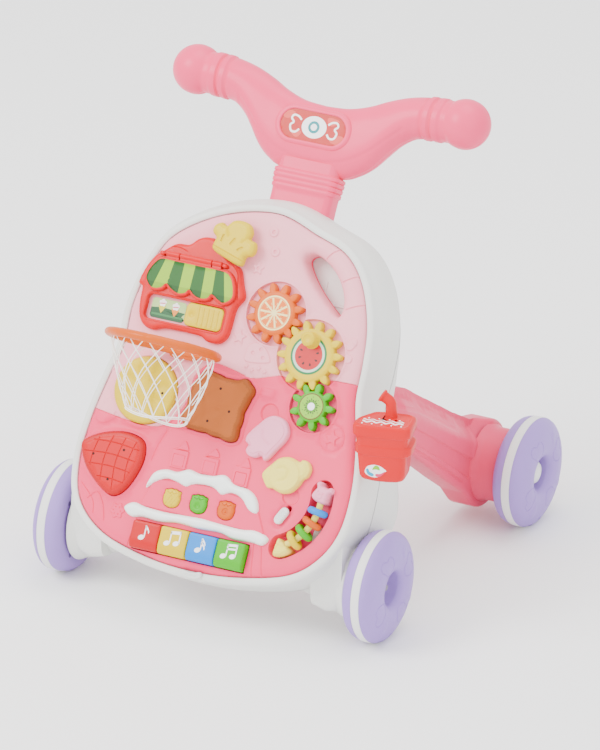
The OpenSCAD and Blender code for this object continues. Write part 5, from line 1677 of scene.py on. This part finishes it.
def build_stage():
    s = settings()
    size = s.floor_size
    mesh = bpy.data.meshes.new("studio_floor")
    mesh.from_pydata([(-size / 2, -size / 2, 0), (size / 2, -size / 2, 0), (size / 2, size / 2, 0),
                      (-size / 2, size / 2, 0)],
                     [], [(0, 1, 2, 3)])
    floor = bpy.data.objects.new("studio_floor", mesh)
    bpy.context.scene.collection.objects.link(floor)
    mesh.materials.append(plastic("studio_white", (0.93, 0.93, 0.93), 0.7, vary=0.004, grain=0.0))
    world = bpy.data.worlds.new("studio")
    bpy.context.scene.world = world
    world.use_nodes = True
    back = world.node_tree.nodes["Background"]
    back.inputs["Color"].default_value = (1.0, 1.0, 1.0, 1)
    back.inputs["Strength"].default_value = 1.9
    for name, place, energy, width, colour in (
            ("key_softbox", (-1.5, -1.9, 2.4), 105, 1.5, (1.0, 0.985, 0.97)),
            ("fill_softbox", (2.3, -1.4, 1.5), 22, 2.2, (0.97, 0.985, 1.0)),
            ("top_softbox", (0.2, 0.5, 2.9), 44, 1.8, (1.0, 1.0, 1.0))):
        light = bpy.data.lights.new(name, "AREA")
        light.energy, light.size, light.color = energy, width, colour
        obj = bpy.data.objects.new(name, light)
        obj.location = place
        obj.rotation_euler = (Vector((0, -0.05, 0.25)) - Vector(place)).to_track_quat("-Z", "Y").to_euler()
        bpy.context.scene.collection.objects.link(obj)
    a, e = CAMERA_AZIMUTH, CAMERA_ELEVATION
    back_to = Vector((math.sin(a) * math.cos(e), -math.cos(a) * math.cos(e), math.sin(e)))
    right = Vector((math.cos(a), math.sin(a), 0))
    up = back_to.cross(right)
    camera = bpy.data.cameras.new("studio_camera")
    camera.lens = 480.0
    camera.sensor_fit = "VERTICAL"
    camera.sensor_height = 36.0
    camera.sensor_width = 36.0
    camera.clip_start, camera.clip_end = 0.5, 60.0
    obj = bpy.data.objects.new("studio_camera", camera)
    axle = Vector((0, FRONT_AXLE_Y / 1000, AXLE_Z / 1000))
    target = axle + right * AIM_RIGHT + up * AIM_UP
    turn = Matrix((right, up, back_to)).transposed()
    obj.matrix_world = Matrix.Translation(target + back_to * CAMERA_DISTANCE) @ turn.to_4x4()
    bpy.context.scene.collection.objects.link(obj)
    bpy.context.scene.camera = obj


# ---------------------------------------------------------------- operators

def finished(build):
    build()
    return {"FINISHED"}


class WALKER_OT_body(bpy.types.Operator):
    """Build the white body: front ring, tray and rear shell with its axle housings"""
    bl_idname = "walker.body"
    bl_label = "Body"

    def execute(self, context):
        return finished(build_body)


class WALKER_OT_legs(bpy.types.Operator):
    """Build the two rear legs and the sleeves in their hubs"""
    bl_idname = "walker.legs"
    bl_label = "Rear Legs"

    def execute(self, context):
        return finished(build_legs)


class WALKER_OT_handlebar(bpy.types.Operator):
    """Build the neck, the handlebar's two shells and its printed plate"""
    bl_idname = "walker.handlebar"
    bl_label = "Handlebar"

    def execute(self, context):
        return finished(build_handlebar)


class WALKER_OT_wheels(bpy.types.Operator):
    """Build the four wheels with their bands"""
    bl_idname = "walker.wheels"
    bl_label = "Wheels"

    def execute(self, context):
        return finished(build_wheels)


class WALKER_OT_covers(bpy.types.Operator):
    """Build the upper and lower covers of the play panel with their reliefs"""
    bl_idname = "walker.covers"
    bl_label = "Panel Covers"

    def execute(self, context):
        return finished(build_covers)


class WALKER_OT_trims(bpy.types.Operator):
    """Build the icing trims, the bead rod with its end figures, and the beads"""
    bl_idname = "walker.trims"
    bl_label = "Trims and Beads"

    def execute(self, context):
        return finished(build_trims)


class WALKER_OT_shop(bpy.types.Operator):
    """Build the shop front, its awning, window slider and chef hat"""
    bl_idname = "walker.shop"
    bl_label = "Shop"

    def execute(self, context):
        return finished(build_shop)


class WALKER_OT_hoop(bpy.types.Operator):
    """Build the ball hoop and its string net"""
    bl_idname = "walker.hoop"
    bl_label = "Hoop and Net"

    def execute(self, context):
        return finished(build_hoop)


class WALKER_OT_gears(bpy.types.Operator):
    """Build the three gears with their printed fruit slices"""
    bl_idname = "walker.gears"
    bl_label = "Gears"

    def execute(self, context):
        return finished(build_gears)


class WALKER_OT_drums(bpy.types.Operator):
    """Build the three drum pads"""
    bl_idname = "walker.drums"
    bl_label = "Drum Pads"

    def execute(self, context):
        return finished(build_drums)


class WALKER_OT_knobs(bpy.types.Operator):
    """Build the lolly and candy knobs, the mode switch and the latch"""
    bl_idname = "walker.knobs"
    bl_label = "Knobs"

    def execute(self, context):
        return finished(build_knobs)


class WALKER_OT_keys(bpy.types.Operator):
    """Build the music keys and the fruit buttons"""
    bl_idname = "walker.keys"
    bl_label = "Keys and Buttons"

    def execute(self, context):
        return finished(build_keys)


class WALKER_OT_cup(bpy.types.Operator):
    """Build the drinking-cup toy"""
    bl_idname = "walker.cup"
    bl_label = "Cup"

    def execute(self, context):
        return finished(build_cup)


class WALKER_OT_kept(bpy.types.Operator):
    """Give the pieces kept from the frame their finishes"""
    bl_idname = "walker.kept"
    bl_label = "Kept Pieces"

    def execute(self, context):
        return finished(build_kept)


class WALKER_OT_stage(bpy.types.Operator):
    """Set up the floor, the soft lights and the camera"""
    bl_idname = "walker.stage"
    bl_label = "Studio"

    def execute(self, context):
        return finished(build_stage)


OPERATORS = (WALKER_OT_body, WALKER_OT_legs, WALKER_OT_handlebar, WALKER_OT_wheels, WALKER_OT_covers,
             WALKER_OT_trims, WALKER_OT_shop, WALKER_OT_hoop, WALKER_OT_gears, WALKER_OT_drums,
             WALKER_OT_knobs, WALKER_OT_keys, WALKER_OT_cup, WALKER_OT_kept, WALKER_OT_stage)


class WALKER_PT_sidebar(bpy.types.Panel):
    """Sidebar panel that lists the walker's settings and pieces"""
    bl_idname = "WALKER_PT_sidebar"
    bl_label = "Baby Walker"
    bl_space_type = "VIEW_3D"
    bl_region_type = "UI"
    bl_category = "Walker"

    def draw(self, context):
        column = self.layout.column()
        for name in WalkerSettings.__annotations__:
            column.prop(context.scene.walker, name)
        for operator in OPERATORS:
            column.operator(operator.bl_idname)


def register():
    for item in (WalkerSettings, *OPERATORS, WALKER_PT_sidebar):
        bpy.utils.register_class(item)
    bpy.types.Scene.walker = bpy.props.PointerProperty(type=WalkerSettings)


def unregister():
    del bpy.types.Scene.walker
    for item in reversed((WalkerSettings, *OPERATORS, WALKER_PT_sidebar)):
        bpy.utils.unregister_class(item)


def main():
    register()
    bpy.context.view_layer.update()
    bpy.ops.walker.body()
    bpy.ops.walker.legs()
    bpy.ops.walker.handlebar()
    bpy.ops.walker.wheels()
    bpy.ops.walker.covers()
    bpy.ops.walker.trims()
    bpy.ops.walker.shop()
    bpy.ops.walker.hoop()
    bpy.ops.walker.gears()
    bpy.ops.walker.drums()
    bpy.ops.walker.knobs()
    bpy.ops.walker.keys()
    bpy.ops.walker.cup()
    bpy.ops.walker.kept()
    bpy.ops.walker.stage()


if __name__ == "__main__":
    main()
